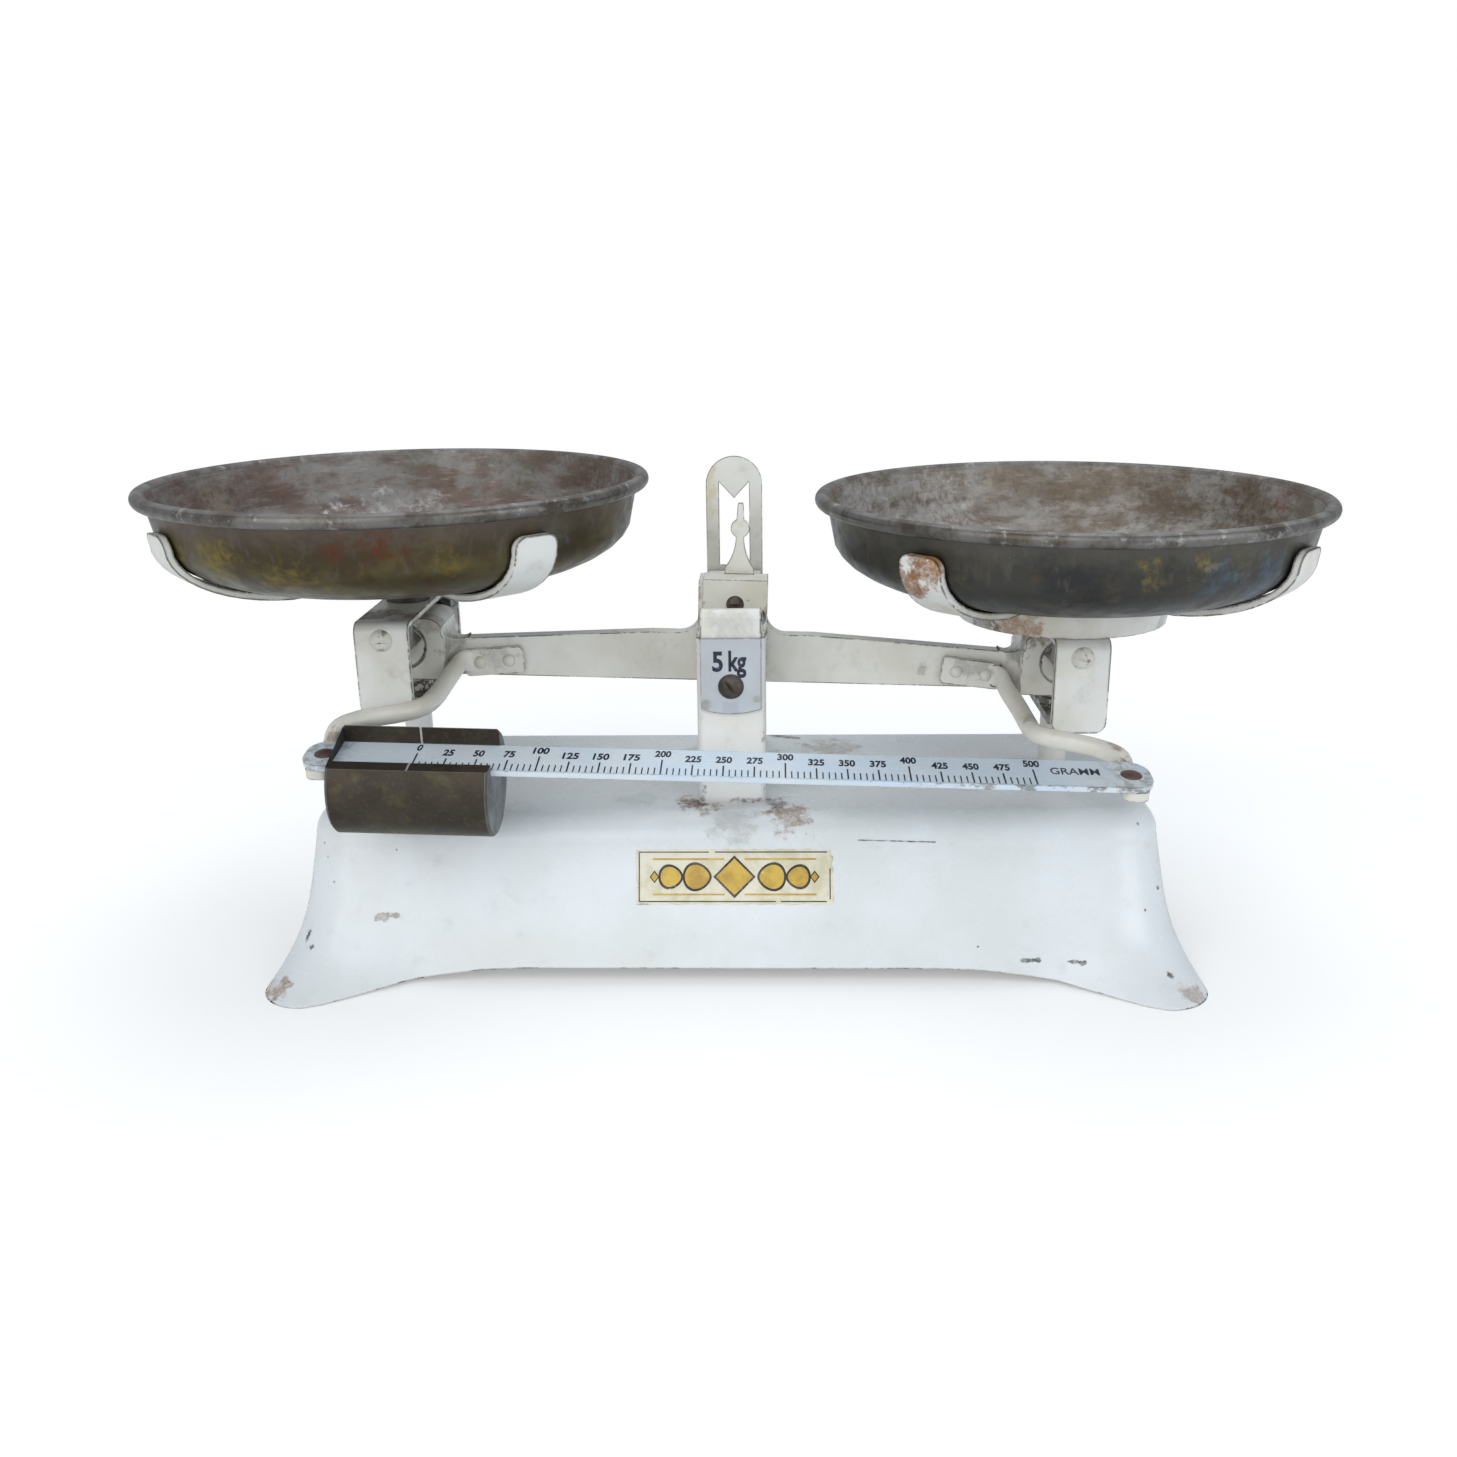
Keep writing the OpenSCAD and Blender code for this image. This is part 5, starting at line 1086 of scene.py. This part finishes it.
class BALANCE_OT_bowls(bpy.types.Operator):
    """The two tarnished brass bowls"""

    bl_idname = "balance.bowls"
    bl_label = "Bowls"

    def execute(self, context):
        left = axis_of_bowl("left_bowl")
        marks = [
            ((-80, 158.3), 7.5, EMBER, 0.85, None, 1.1), ((-89, 157), 5.0, EMBER, 0.7),
            ((-74, 159.5), 4.5, EMBER, 0.65), ((-69, 142, 76), 7, (0.12, 0.035, 0.015), 0.6),
            ((-118, 153), 8, GOLD_PATCH, 0.75), ((-101, 147, 78), 9, GOLD_PATCH, 0.65),
            ((-65, 150), 6, GOLD_PATCH, 0.5), ((-135, 152), 9, GOLD_PATCH, 0.5),
            ((-88, 142, 74), 9, GOLD_PATCH, 0.35), ((-52, 150), 10, (0.10, 0.095, 0.05), 0.5),
            ((-40, 156), 8, (0.17, 0.18, 0.17), 0.5), ((120, 150), 10, GOLD_PATCH, 0.4),
            ((60, 154), 9, (0.12, 0.035, 0.015), 0.4),
        ]
        crust = [
            ((-103, 160), 4, 0.9), ((-92, 155), 4, 0.9), ((-85, 156), 4, 0.9),
            ((-77, 162), 5, 0.9), ((-66, 160), 5, 0.9), ((-56, 157), 5, 0.8),
            ((-112, 161), 6, 0.6), ((30, 158), 8, 0.5), ((150, 156), 8, 0.5),
        ]
        inner = [
            ((162, 156, 80), 14, (0.40, 0.33, 0.24), 0.55), ((178, 150, 76), 22, (0.17, 0.085, 0.055), 0.6),
            ((128, 148, 78), 3.0, CHALK, 0.75, (108, 153, 80), 1.3),
            ((118, 144, 74), 6, (0.45, 0.44, 0.43), 0.6, (96, 148, 78), 1.2),
            ((70, 160, 82), 12, (0.13, 0.13, 0.09), 0.6), ((100, 163, 83), 10, (0.12, 0.13, 0.10), 0.55),
            ((40, 155, 80), 22, (0.115, 0.075, 0.05), 0.65), ((10, 152, 80), 24, (0.12, 0.085, 0.065), 0.6),
            ((140, 160, 82), 9, (0.24, 0.12, 0.09), 0.5),
        ]
        tone = bowl_metal("left_bowl_brass", left, (0.062, 0.048, 0.027), (0.105, 0.086, 0.036),
                          (0.075, 0.043, 0.024),
                          (0.145, 0.115, 0.10),
                          ((0.145, 0.105, 0.085), (0.25, 0.235, 0.22), (0.20, 0.135, 0.115),
                           (0.38, 0.365, 0.35)),
                          marks, crust, inner)
        dress(tone, "left_bowl")
        right = axis_of_bowl("right_bowl")
        marks = [
            ((-85, 149.5), 4.0, (0.32, 0.24, 0.05), 0.8, (-83, 141, 76), 1.0),
            ((-72, 150), 5.0, (0.30, 0.23, 0.05), 0.8), ((-92, 145, 78), 4, GOLD_PATCH, 0.6),
            ((-64, 152), 6, GOLD_PATCH, 0.35), ((-68, 146, 80), 9, STEEL_BLUE, 0.55),
            ((-53, 141, 78), 11, STEEL_BLUE, 0.6), ((-60, 152), 8, (0.13, 0.13, 0.11), 0.5),
            ((-125, 148), 14, (0.085, 0.075, 0.055), 0.6), ((60, 148), 12, GOLD_PATCH, 0.4),
            ((110, 146), 12, (0.10, 0.06, 0.03), 0.5), ((-30, 148), 10, (0.12, 0.10, 0.055), 0.5),
        ]
        crust = [
            ((-119, 154), 4, 0.9), ((-114, 152), 4, 0.8), ((-108, 156), 4, 0.8),
            ((-104, 155), 5, 0.9), ((-99, 154), 5, 0.9), ((-93, 154), 5, 0.9),
            ((-87, 153), 5, 0.9), ((-82, 156), 4, 0.9), ((-75, 152), 4, 0.8),
            ((-76, 144, 78), 5, 0.95), ((-73, 139, 75), 4, 0.8),
            ((40, 152), 8, 0.5), ((130, 152), 8, 0.5),
        ]
        inner = [
            ((150, 146, 78), 26, (0.50, 0.48, 0.465), 0.8), ((115, 144, 78), 22, (0.44, 0.42, 0.40), 0.75),
            ((180, 144, 78), 18, (0.40, 0.37, 0.34), 0.6), ((96, 152, 80), 12, (0.33, 0.27, 0.20), 0.6),
            ((75, 150, 80), 20, (0.16, 0.12, 0.08), 0.6), ((50, 148, 80), 22, (0.12, 0.085, 0.055), 0.7),
            ((25, 148, 80), 20, (0.10, 0.06, 0.03), 0.7), ((12, 154, 82), 7, (0.22, 0.06, 0.035), 0.6),
            ((44, 154, 81), 3, (0.45, 0.40, 0.34), 0.55, (36, 155, 81), 1.2),
            (Vector((119.9, -10, 127)), 38, (0.34, 0.32, 0.30), 0.5),
        ]
        tone = bowl_metal("right_bowl_brass", right, (0.038, 0.038, 0.038), (0.062, 0.060, 0.052),
                          (0.085, 0.07, 0.045),
                          (0.13, 0.12, 0.10),
                          ((0.20, 0.165, 0.13), (0.32, 0.30, 0.28), (0.16, 0.115, 0.08), (0.42, 0.40, 0.38)),
                          marks, crust, inner)
        dress(tone, "right_bowl")
        return {"FINISHED"}


class BALANCE_OT_poise(bpy.types.Operator):
    """The bronze poise with its turned ends and scratched index lines"""

    bl_idname = "balance.poise"
    bl_label = "Poise"

    def execute(self, context):
        sizes = context.scene.balance_sizes
        bronze = tuple(context.scene.balance_colours.bronze)
        finish = Finish("poise_bronze")
        finish.rounding(0.45)
        tone = finish.mix(finish.cloud(0.40, 0.62, 16, 5, 0.6, 31), bronze, tuple(0.72 * c for c in bronze))
        tone = finish.over(tone, (0.105, 0.092, 0.04), finish.cloud(0.50, 0.70, 9, 5, 0.62, 32), 0.6)
        grain = finish.noise(1.3, 6, 0.72, 33)
        tone = finish.over(tone, (0.13, 0.105, 0.08), finish.step(grain, 0.50, 0.72), 0.5)
        brushed = finish.noise(1.1, 5, 0.6, 34, (0.06, 1, 1))
        # Turned ends, lighter and grey
        beam_x = Matrix.Rotation(TILT, 3, "Y") @ Vector((1, 0, 0))
        facing = finish.sum("ABSOLUTE", finish.vec("DOT_PRODUCT", finish.facing, tuple(beam_x)))
        end = finish.step(facing, 0.6, 0.85)
        stained = finish.mix(finish.cloud(0.36, 0.64, 10, 6, 0.66, 35), (0.25, 0.26, 0.27),
                             (0.12, 0.12, 0.12))
        stained = finish.over(stained, (0.36, 0.37, 0.38), finish.cloud(0.5, 0.7, 3, 6, 0.7, 36), 0.4)
        tone = finish.mix(end, tone, stained)
        tone = finish.over(tone, (0.30, 0.29, 0.27), finish.edge, 0.6)
        # Index lines at the zero mark, on both upper parts
        frame_of_bar = bar_matrix(sizes)
        origin = frame_of_bar @ Vector((sizes.zero_place, 0, 0))
        across = frame_of_bar.to_3x3() @ Vector((1, 0, 0))
        over = frame_of_bar.to_3x3() @ Vector((0, 0, 1))
        to_front = frame_of_bar.to_3x3() @ Vector((0, -1, 0))
        gap = finish.sum("ABSOLUTE", finish.sum("MULTIPLY_ADD", finish.ragged(), 0.5,
                                                finish.along(origin, across)))
        line = finish.step(gap, 0.42, 0.24)
        high = finish.along(origin, over)
        front = finish.along(origin, to_front)
        lip = finish.times(finish.band(front, 8.3, 13.5, 0.3), finish.step(high, 2.1, 2.5))
        wall = finish.times(finish.step(front, -7.8, -8.3), finish.step(high, 0.4, 0.9))
        line = finish.times(line, finish.most(lip, wall), finish.step(grain, 0.30, 0.42))
        tone = finish.over(tone, (0.62, 0.62, 0.58), line, 0.9)
        green = finish.mark((-108.5, -58.0, 97.2), 1.0, None, 1.0)
        tone = finish.over(tone, (0.14, 0.30, 0.27), green, 0.7)
        rub = finish.times(finish.mark((-93, -88.5, 96.6), 1.1, (-83, -88.5, 96.4), 1.6),
                           finish.step(grain, 0.45, 0.55))
        tone = finish.over(tone, (0.48, 0.48, 0.47), rub, 0.7)
        rough = finish.sum("MULTIPLY_ADD", finish.step(grain, 0.35, 0.65), 0.18, 0.40)
        finish.bump(finish.sum("MULTIPLY_ADD", grain, 0.6, finish.times(brushed, 0.6)), 0.07)
        dress(finish.end(tone, rough, 0.55), "poise", "poise_plug")
        return {"FINISHED"}


class BALANCE_OT_bar(bpy.types.Operator):
    """The graduated bar: its enamel, its marks and its numerals"""

    bl_idname = "balance.bar"
    bl_label = "Graduated Bar"

    def execute(self, context):
        sizes = context.scene.balance_sizes
        tones = context.scene.balance_colours
        self.enamel(sizes, tuple(tones.bar_blue))
        ink = self.ink(tuple(tones.ink))
        self.marks(context, sizes, ink)
        self.numerals(sizes, ink)
        return {"FINISHED"}

    def enamel(self, sizes, blue):
        finish = Finish("bar_enamel")
        finish.rounding(0.4)
        place = bar_matrix(sizes)
        middle = place @ Vector((0, 0, 0))
        rear = place.to_3x3() @ Vector((0, 1, 0))
        across = finish.along(middle, rear)
        lengthwise = finish.along(middle, place.to_3x3() @ Vector((1, 0, 0)))
        tone = finish.mix(finish.cloud(0.38, 0.64, 30, 5, 0.6, 40), blue, (0.70, 0.76, 0.80))
        scuff = finish.cloud(0.54, 0.76, 5, 6, 0.7, 41, (0.4, 1, 1))
        tone = finish.over(tone, (0.45, 0.50, 0.54), scuff, 0.45)
        ring = finish.sum("ABSOLUTE", finish.sum("SUBTRACT", finish.sum("ABSOLUTE", lengthwise), 131.0))
        smear = finish.times(finish.step(ring, 11.0, 5.0), finish.cloud(0.45, 0.62, 3, 6, 0.7, 42))
        tone = finish.over(tone, GRIME_AND_SHADE, smear, 0.5)
        # Dirt caught along the foot of the marks
        foot = finish.band(across, 1000 * sizes.mark_foot - 0.45, 1000 * sizes.mark_foot + 0.05, 0.12)
        foot = finish.times(foot, finish.cloud(0.38, 0.58, 4, 5, 0.7, 43))
        tone = finish.over(tone, (0.16, 0.20, 0.28), foot, 0.5)
        bite = finish.noise(3.2, 7, 0.75, 44, (0.5, 1, 1))
        chip = finish.times(finish.edge, finish.step(bite, 0.56, 0.60))
        right = finish.step(lengthwise, 40.0, 95.0)
        worn = finish.times(finish.band(across, -9.4, -8.4, 0.25), finish.step(bite, 0.52, 0.56), right)
        tone = finish.mix(finish.most(chip, finish.times(worn, 0.7)), tone, (0.13, 0.12, 0.11))
        rough = finish.sum("MULTIPLY_ADD", finish.most(chip, scuff), 0.3, 0.24)
        finish.bump(finish.sum("SUBTRACT", finish.times(finish.noise(7, 3, 0.5, 45), 0.6),
                               finish.times(chip, 0.5)), 0.10)
        dress(finish.end(tone, rough, 0.0), "scale_bar")

    def ink(self, colour):
        finish = Finish("mark_ink")
        rubbed = finish.cloud(0.60, 0.74, 2.6, 6, 0.75, 46)
        tone = finish.mix(finish.times(rubbed, 0.25), colour, (0.16, 0.20, 0.30))
        finish.bump(finish.noise(0.6, 3, 0.6, 47), 0.02)
        return finish.end(tone, finish.sum("MULTIPLY_ADD", rubbed, 0.3, 0.35))

    def tree(self):
        """Marks on a line: every fifth is longer, and every twentieth longest."""
        tree = bpy.data.node_groups.new("bar_marks", "GeometryNodeTree")
        floats = ("Start", "Step", "Foot", "Short", "Middle", "Long", "Width", "Thickness", "Height")
        for name, kind in (("Count", "Int"), *((name, "Float") for name in floats), ("Material", "Material")):
            tree.interface.new_socket(name, in_out="INPUT", socket_type="NodeSocket" + kind)
        tree.interface.new_socket("Geometry", in_out="OUTPUT", socket_type="NodeSocketGeometry")

        def node(kind, **settings):
            made = tree.nodes.new(kind)
            for key, value in settings.items():
                setattr(made, key, value)
            return made

        link = tree.links.new

        def calc(operation, a, b):
            made = node("ShaderNodeMath", operation=operation)
            for value, socket in ((a, made.inputs[0]), (b, made.inputs[1])):
                if isinstance(value, bpy.types.NodeSocket):
                    link(value, socket)
                else:
                    socket.default_value = value
            return made.outputs[0]

        def choose(test, no, yes):
            made = node("GeometryNodeSwitch", input_type="FLOAT")
            link(test, made.inputs[0])
            link(no, made.inputs[1])
            link(yes, made.inputs[2])
            return made.outputs[0]

        def vector(*parts):
            made = node("ShaderNodeCombineXYZ")
            for value, socket in zip(parts, made.inputs):
                if value is not None:
                    link(value, socket)
            return made.outputs[0]

        given = node("NodeGroupInput").outputs
        index = node("GeometryNodeInputIndex").outputs[0]
        fifth = calc("LESS_THAN", calc("MODULO", index, 5.0), 0.5)
        twentieth = calc("LESS_THAN", calc("MODULO", index, 20.0), 0.5)
        length = choose(twentieth, choose(fifth, given["Short"], given["Middle"]), given["Long"])
        wide = node("ShaderNodeMath", operation="MULTIPLY_ADD")
        link(fifth, wide.inputs[0])
        wide.inputs[1].default_value = 0.25
        wide.inputs[2].default_value = 1.0
        width = calc("MULTIPLY", given["Width"], wide.outputs[0])
        line = node("GeometryNodeMeshLine")
        link(given["Count"], line.inputs["Count"])
        link(vector(given["Step"]), line.inputs["Offset"])
        link(vector(given["Start"]), line.inputs["Start Location"])
        moved = node("GeometryNodeSetPosition")
        link(line.outputs[0], moved.inputs["Geometry"])
        middle = calc("ADD", given["Foot"], calc("MULTIPLY", length, 0.5))
        link(vector(None, middle, given["Height"]), moved.inputs["Offset"])
        cube = node("GeometryNodeMeshCube")
        cube.inputs["Size"].default_value = (1, 1, 1)
        spread = node("GeometryNodeInstanceOnPoints")
        link(moved.outputs[0], spread.inputs["Points"])
        link(cube.outputs[0], spread.inputs["Instance"])
        link(vector(width, length, given["Thickness"]), spread.inputs["Scale"])
        real = node("GeometryNodeRealizeInstances")
        link(spread.outputs[0], real.inputs[0])
        painted = node("GeometryNodeSetMaterial")
        link(real.outputs[0], painted.inputs["Geometry"])
        link(given["Material"], painted.inputs["Material"])
        link(painted.outputs[0], node("NodeGroupOutput").inputs[0])
        return tree

    def marks(self, context, sizes, ink):
        tree = self.tree()
        holder = bpy.data.objects.new("bar_marks_maker", bpy.data.meshes.new("bar_marks_maker"))
        context.scene.collection.objects.link(holder)
        maker = holder.modifiers.new("marks", "NODES")
        maker.node_group = tree
        values = {"Count": sizes.mark_count, "Start": sizes.zero_place, "Step": sizes.mark_step,
                  "Foot": sizes.mark_foot,
                  "Short": sizes.mark_short, "Middle": sizes.mark_middle, "Long": sizes.mark_long,
                  "Width": sizes.mark_width, "Thickness": INK, "Height": sizes.bar_thickness / 2 + INK * 0.2,
                  "Material": ink}
        for item in tree.interface.items_tree:
            if item.in_out == "INPUT":
                maker[item.identifier] = values[item.name]
        holder.update_tag()
        context.view_layer.update()
        graph = context.evaluated_depsgraph_get()
        mesh = bpy.data.meshes.new_from_object(holder.evaluated_get(graph))
        bpy.data.objects.remove(holder)
        if not mesh.vertices:
            raise RuntimeError("the bar has no marks")
        mesh.transform(bar_matrix(sizes))
        mesh.name = "bar_marks"
        link_piece("bar_marks", mesh, "beam")

    def numerals(self, sizes, ink):
        place = bar_matrix(sizes)
        top = sizes.bar_thickness / 2 + INK * 0.2
        rows = []
        for grams in range(0, 501, 25):
            text = str(grams)
            x = sizes.zero_place + grams / 5 * sizes.mark_step
            y = 0.0058 if grams % 100 == 0 else 0.0028
            width = sizes.numeral_width * len(text)
            rows.append((text, x, y, width, sizes.numeral_height))
        rows.append(("GRAMM", 0.1131, 0.0013, 0.0159, sizes.numeral_height))
        pieces = []
        for text, x, y, width, height in rows:
            points, faces = lettering(text, width, height, INK, 0.008 if text.isalpha() else 0.034, 0.06)
            shift = Vector((x, y, top))
            pieces.append(([place @ (p + shift) for p in points], faces))
        new_piece("bar_numerals", *gather(pieces), ink, "beam", "bar_enamel")


class BALANCE_OT_capacity(bpy.types.Operator):
    """The capacity on the small plate of the front post"""

    bl_idname = "balance.capacity"
    bl_label = "Capacity"

    def execute(self, context):
        finish = Finish("capacity_ink")
        rubbed = finish.cloud(0.56, 0.70, 2.0, 6, 0.75, 51)
        tone = finish.mix(finish.times(rubbed, 0.5), tuple(context.scene.balance_colours.ink),
                          (0.20, 0.24, 0.32))
        finish.bump(finish.noise(0.6, 3, 0.6, 52), 0.02)
        finish.end(tone, 0.4)
        pieces = []
        stand = Matrix.Rotation(math.radians(90), 4, "X")
        face = on_front("capacity_plate", 0.0, 108.5)[0].y / 1000
        for text, x, z, width, height in (("5", -0.00455, 0.10855, 0.0037, 0.0073),
                                          ("kg", 0.0023, 0.1076, 0.0062, 0.0098)):
            points, faces = lettering(text, width, height, 0.0001, 0.030)
            moved = [Matrix.Translation((x, face, z)) @ (stand @ p) for p in points]
            pieces.append((moved, faces))
        new_piece("capacity_letters", *gather(pieces), finish.mat, "base", "capacity_enamel")
        return {"FINISHED"}


class BALANCE_OT_panel(bpy.types.Operator):
    """The plain cream panel with its gold ornament on the front of the base"""

    bl_idname = "balance.panel"
    bl_label = "Front Panel"

    def execute(self, context):
        sizes = context.scene.balance_sizes
        tones = context.scene.balance_colours
        w, h = sizes.panel_width / 2, sizes.panel_height / 2
        field = self.field(w, h)
        cream = self.print_finish("panel_cream", tuple(tones.panel_cream), (0.66, 0.60, 0.42), 61)
        black = self.print_finish("panel_black", (0.018, 0.016, 0.014), (0.10, 0.09, 0.07), 62)
        gold = self.print_finish("panel_gold", tuple(tones.gold), (0.50, 0.30, 0.05), 63)
        self.lay("front_panel", [field], 0.00006, cream)
        outline, inner = self.ornament(w, h)
        self.lay("front_panel_lines", outline, 0.00014, black)
        self.lay("front_panel_gold", inner, 0.00021, gold)
        return {"FINISHED"}

    def field(self, w, h):
        """The panel's torn outline."""
        ring = []
        for k in range(160):
            t = k / 160 * 4
            side, s = int(t), 2 * (t - int(t)) - 1
            x, y = ((s * w, -h), (w, s * h), (-s * w, h), (-w, -s * h))[side]
            tear = 0.00022 * math.sin(k * 2.3) + 0.00016 * math.sin(k * 5.1 + 1)
            if x > w * 0.90 and y > h * 0.3:
                tear -= 0.0009 * abs(math.sin(k * 1.7))
            if x < -w * 0.93 and y < -h * 0.2:
                tear -= 0.0007 * abs(math.sin(k * 1.3))
            ring.append((x * (1 + tear / w), y * (1 + tear / h)))
        return ring

    def ornament(self, w, h):
        """A rule round the panel, a row of lozenges and beads, all in gold with black edges."""
        lines, golds = [], []

        def strip(x0, y0, x1, y1, thick):
            turn = Vector((x1 - x0, y1 - y0)).normalized() * thick / 2
            side = Vector((-turn.y, turn.x))
            a, b = Vector((x0, y0)), Vector((x1, y1))
            return [tuple(p) for p in (a - side, b - side, b + side, a + side)]

        rim = 0.0010
        for x0, y0, x1, y1 in ((-w + rim, -h + rim, w * 0.42, -h + rim),
                               (w * 0.47, -h + rim, w - rim * 2.2, -h + rim),
                               (w - rim, -h + rim * 1.8, w - rim, h * 0.3),
                               (w - rim * 2, h - rim, -w * 0.2, h - rim),
                               (-w * 0.26, h - rim, -w + rim, h - rim),
                               (-w + rim, h - rim, -w + rim, -h + rim)):
            lines.append(strip(x0, y0, x1, y1, 0.00038))

        def both(shape, grow):
            lines.append(grow)
            golds.append(shape)

        def lozenge(cx, a, b):
            return [(cx + a, 0), (cx, b), (cx - a, 0), (cx, -b)]

        def leaf(cx, a, b):
            ring = []
            for k in range(24):
                t = 2 * math.pi * k / 24
                blunt = abs(math.cos(t / 2 + (0 if cx > 0 else math.pi / 2)))
                ring.append((cx + a * math.cos(t), b * math.sin(t) * (0.55 + 0.45 * blunt)))
            return ring

        both(lozenge(0, 0.0064, 0.0064), lozenge(0, 0.0074, 0.0075))
        for side in (-1, 1):
            for cx, a, b in ((0.0130, 0.0043, 0.0048), (0.0222, 0.0036, 0.0040)):
                both(leaf(side * cx, a, b), leaf(side * cx, a + 0.0008, b + 0.0010))
            both(lozenge(side * 0.0279, 0.0012, 0.0016), lozenge(side * 0.0279, 0.0017, 0.0022))
            for y in (-0.0062, 0.0062):
                golds.append(strip(side * 0.0035, y, side * 0.0285, y, 0.00055))
        return lines, golds

    def print_finish(self, name, colour, aged, seed):
        finish = Finish(name)
        tone = finish.mix(finish.cloud(0.40, 0.64, 9, 5, 0.65, seed), colour, aged)
        crack = finish.cloud(0.60, 0.68, 1.6, 6, 0.75, seed + 1)
        tone = finish.over(tone, (0.74, 0.74, 0.70), crack, 0.6)
        finish.bump(finish.noise(1.2, 4, 0.6, seed + 2), 0.03)
        return finish.end(tone, finish.sum("MULTIPLY_ADD", crack, 0.3, 0.28))

    def lay(self, name, rings, lift, material):
        """Lays thin rings, drawn counterclockwise, on the base's front wall."""
        # The panel's middle, its height as the camera sees it, and its thickness
        middle, squash, thick = Vector((0.0009, 0.0, 0.0358)), 0.93, Vector((0.0, -0.00005, 0.0))
        build = bmesh.new()
        for ring in rings:
            build.faces.new([build.verts.new((x, y, 0.0)) for x, y in ring])
        bmesh.ops.triangulate(build, faces=build.faces)
        build.verts.index_update()
        low = []
        for vert in build.verts:
            x, y, _ = vert.co
            spot, facing = on_front("base_shell", 1000 * (middle.x + x), 1000 * (middle.z + y * squash))
            low.append(spot / 1000 + (facing if facing.y < 0 else -facing) * lift)
        front = [[v.index for v in face.verts] for face in build.faces]
        build.free()
        edges = {(a, b): None for face in front for a, b in zip(face, face[1:] + face[:1])}
        n = len(low)
        faces = [[i + n for i in face] for face in front] + [face[::-1] for face in front]
        faces += [(a, b, b + n, a + n) for a, b in edges if (b, a) not in edges]
        new_piece(name, low + [p + thick for p in low], faces, material, "base", "base_enamel")


class BALANCE_PT_panel(bpy.types.Panel):
    bl_idname = "BALANCE_PT_panel"
    bl_label = "Balance Scale"
    bl_space_type = "VIEW_3D"
    bl_region_type = "UI"
    bl_category = "Balance"

    def draw(self, context):
        layout = self.layout
        for group in (context.scene.balance_sizes, context.scene.balance_colours):
            box = layout.box()
            for name in group.__annotations__:
                box.prop(group, name)
        for operator in OPERATORS:
            layout.operator(operator.bl_idname)


OPERATORS = (BALANCE_OT_stage, BALANCE_OT_enamels, BALANCE_OT_steels, BALANCE_OT_bowls, BALANCE_OT_poise,
             BALANCE_OT_bar, BALANCE_OT_capacity, BALANCE_OT_panel)
CLASSES = (BalanceSizes, BalanceColours, *OPERATORS, BALANCE_PT_panel)


def register():
    for cls in CLASSES:
        bpy.utils.register_class(cls)
    bpy.types.Scene.balance_sizes = bpy.props.PointerProperty(type=BalanceSizes)
    bpy.types.Scene.balance_colours = bpy.props.PointerProperty(type=BalanceColours)


def unregister():
    del bpy.types.Scene.balance_colours
    del bpy.types.Scene.balance_sizes
    for cls in reversed(CLASSES):
        bpy.utils.unregister_class(cls)


def main():
    register()
    bpy.ops.balance.stage()
    bpy.ops.balance.enamels()
    bpy.ops.balance.steels()
    bpy.ops.balance.bowls()
    bpy.ops.balance.poise()
    bpy.ops.balance.bar()
    bpy.ops.balance.capacity()
    bpy.ops.balance.panel()


if __name__ == "__main__":
    main()
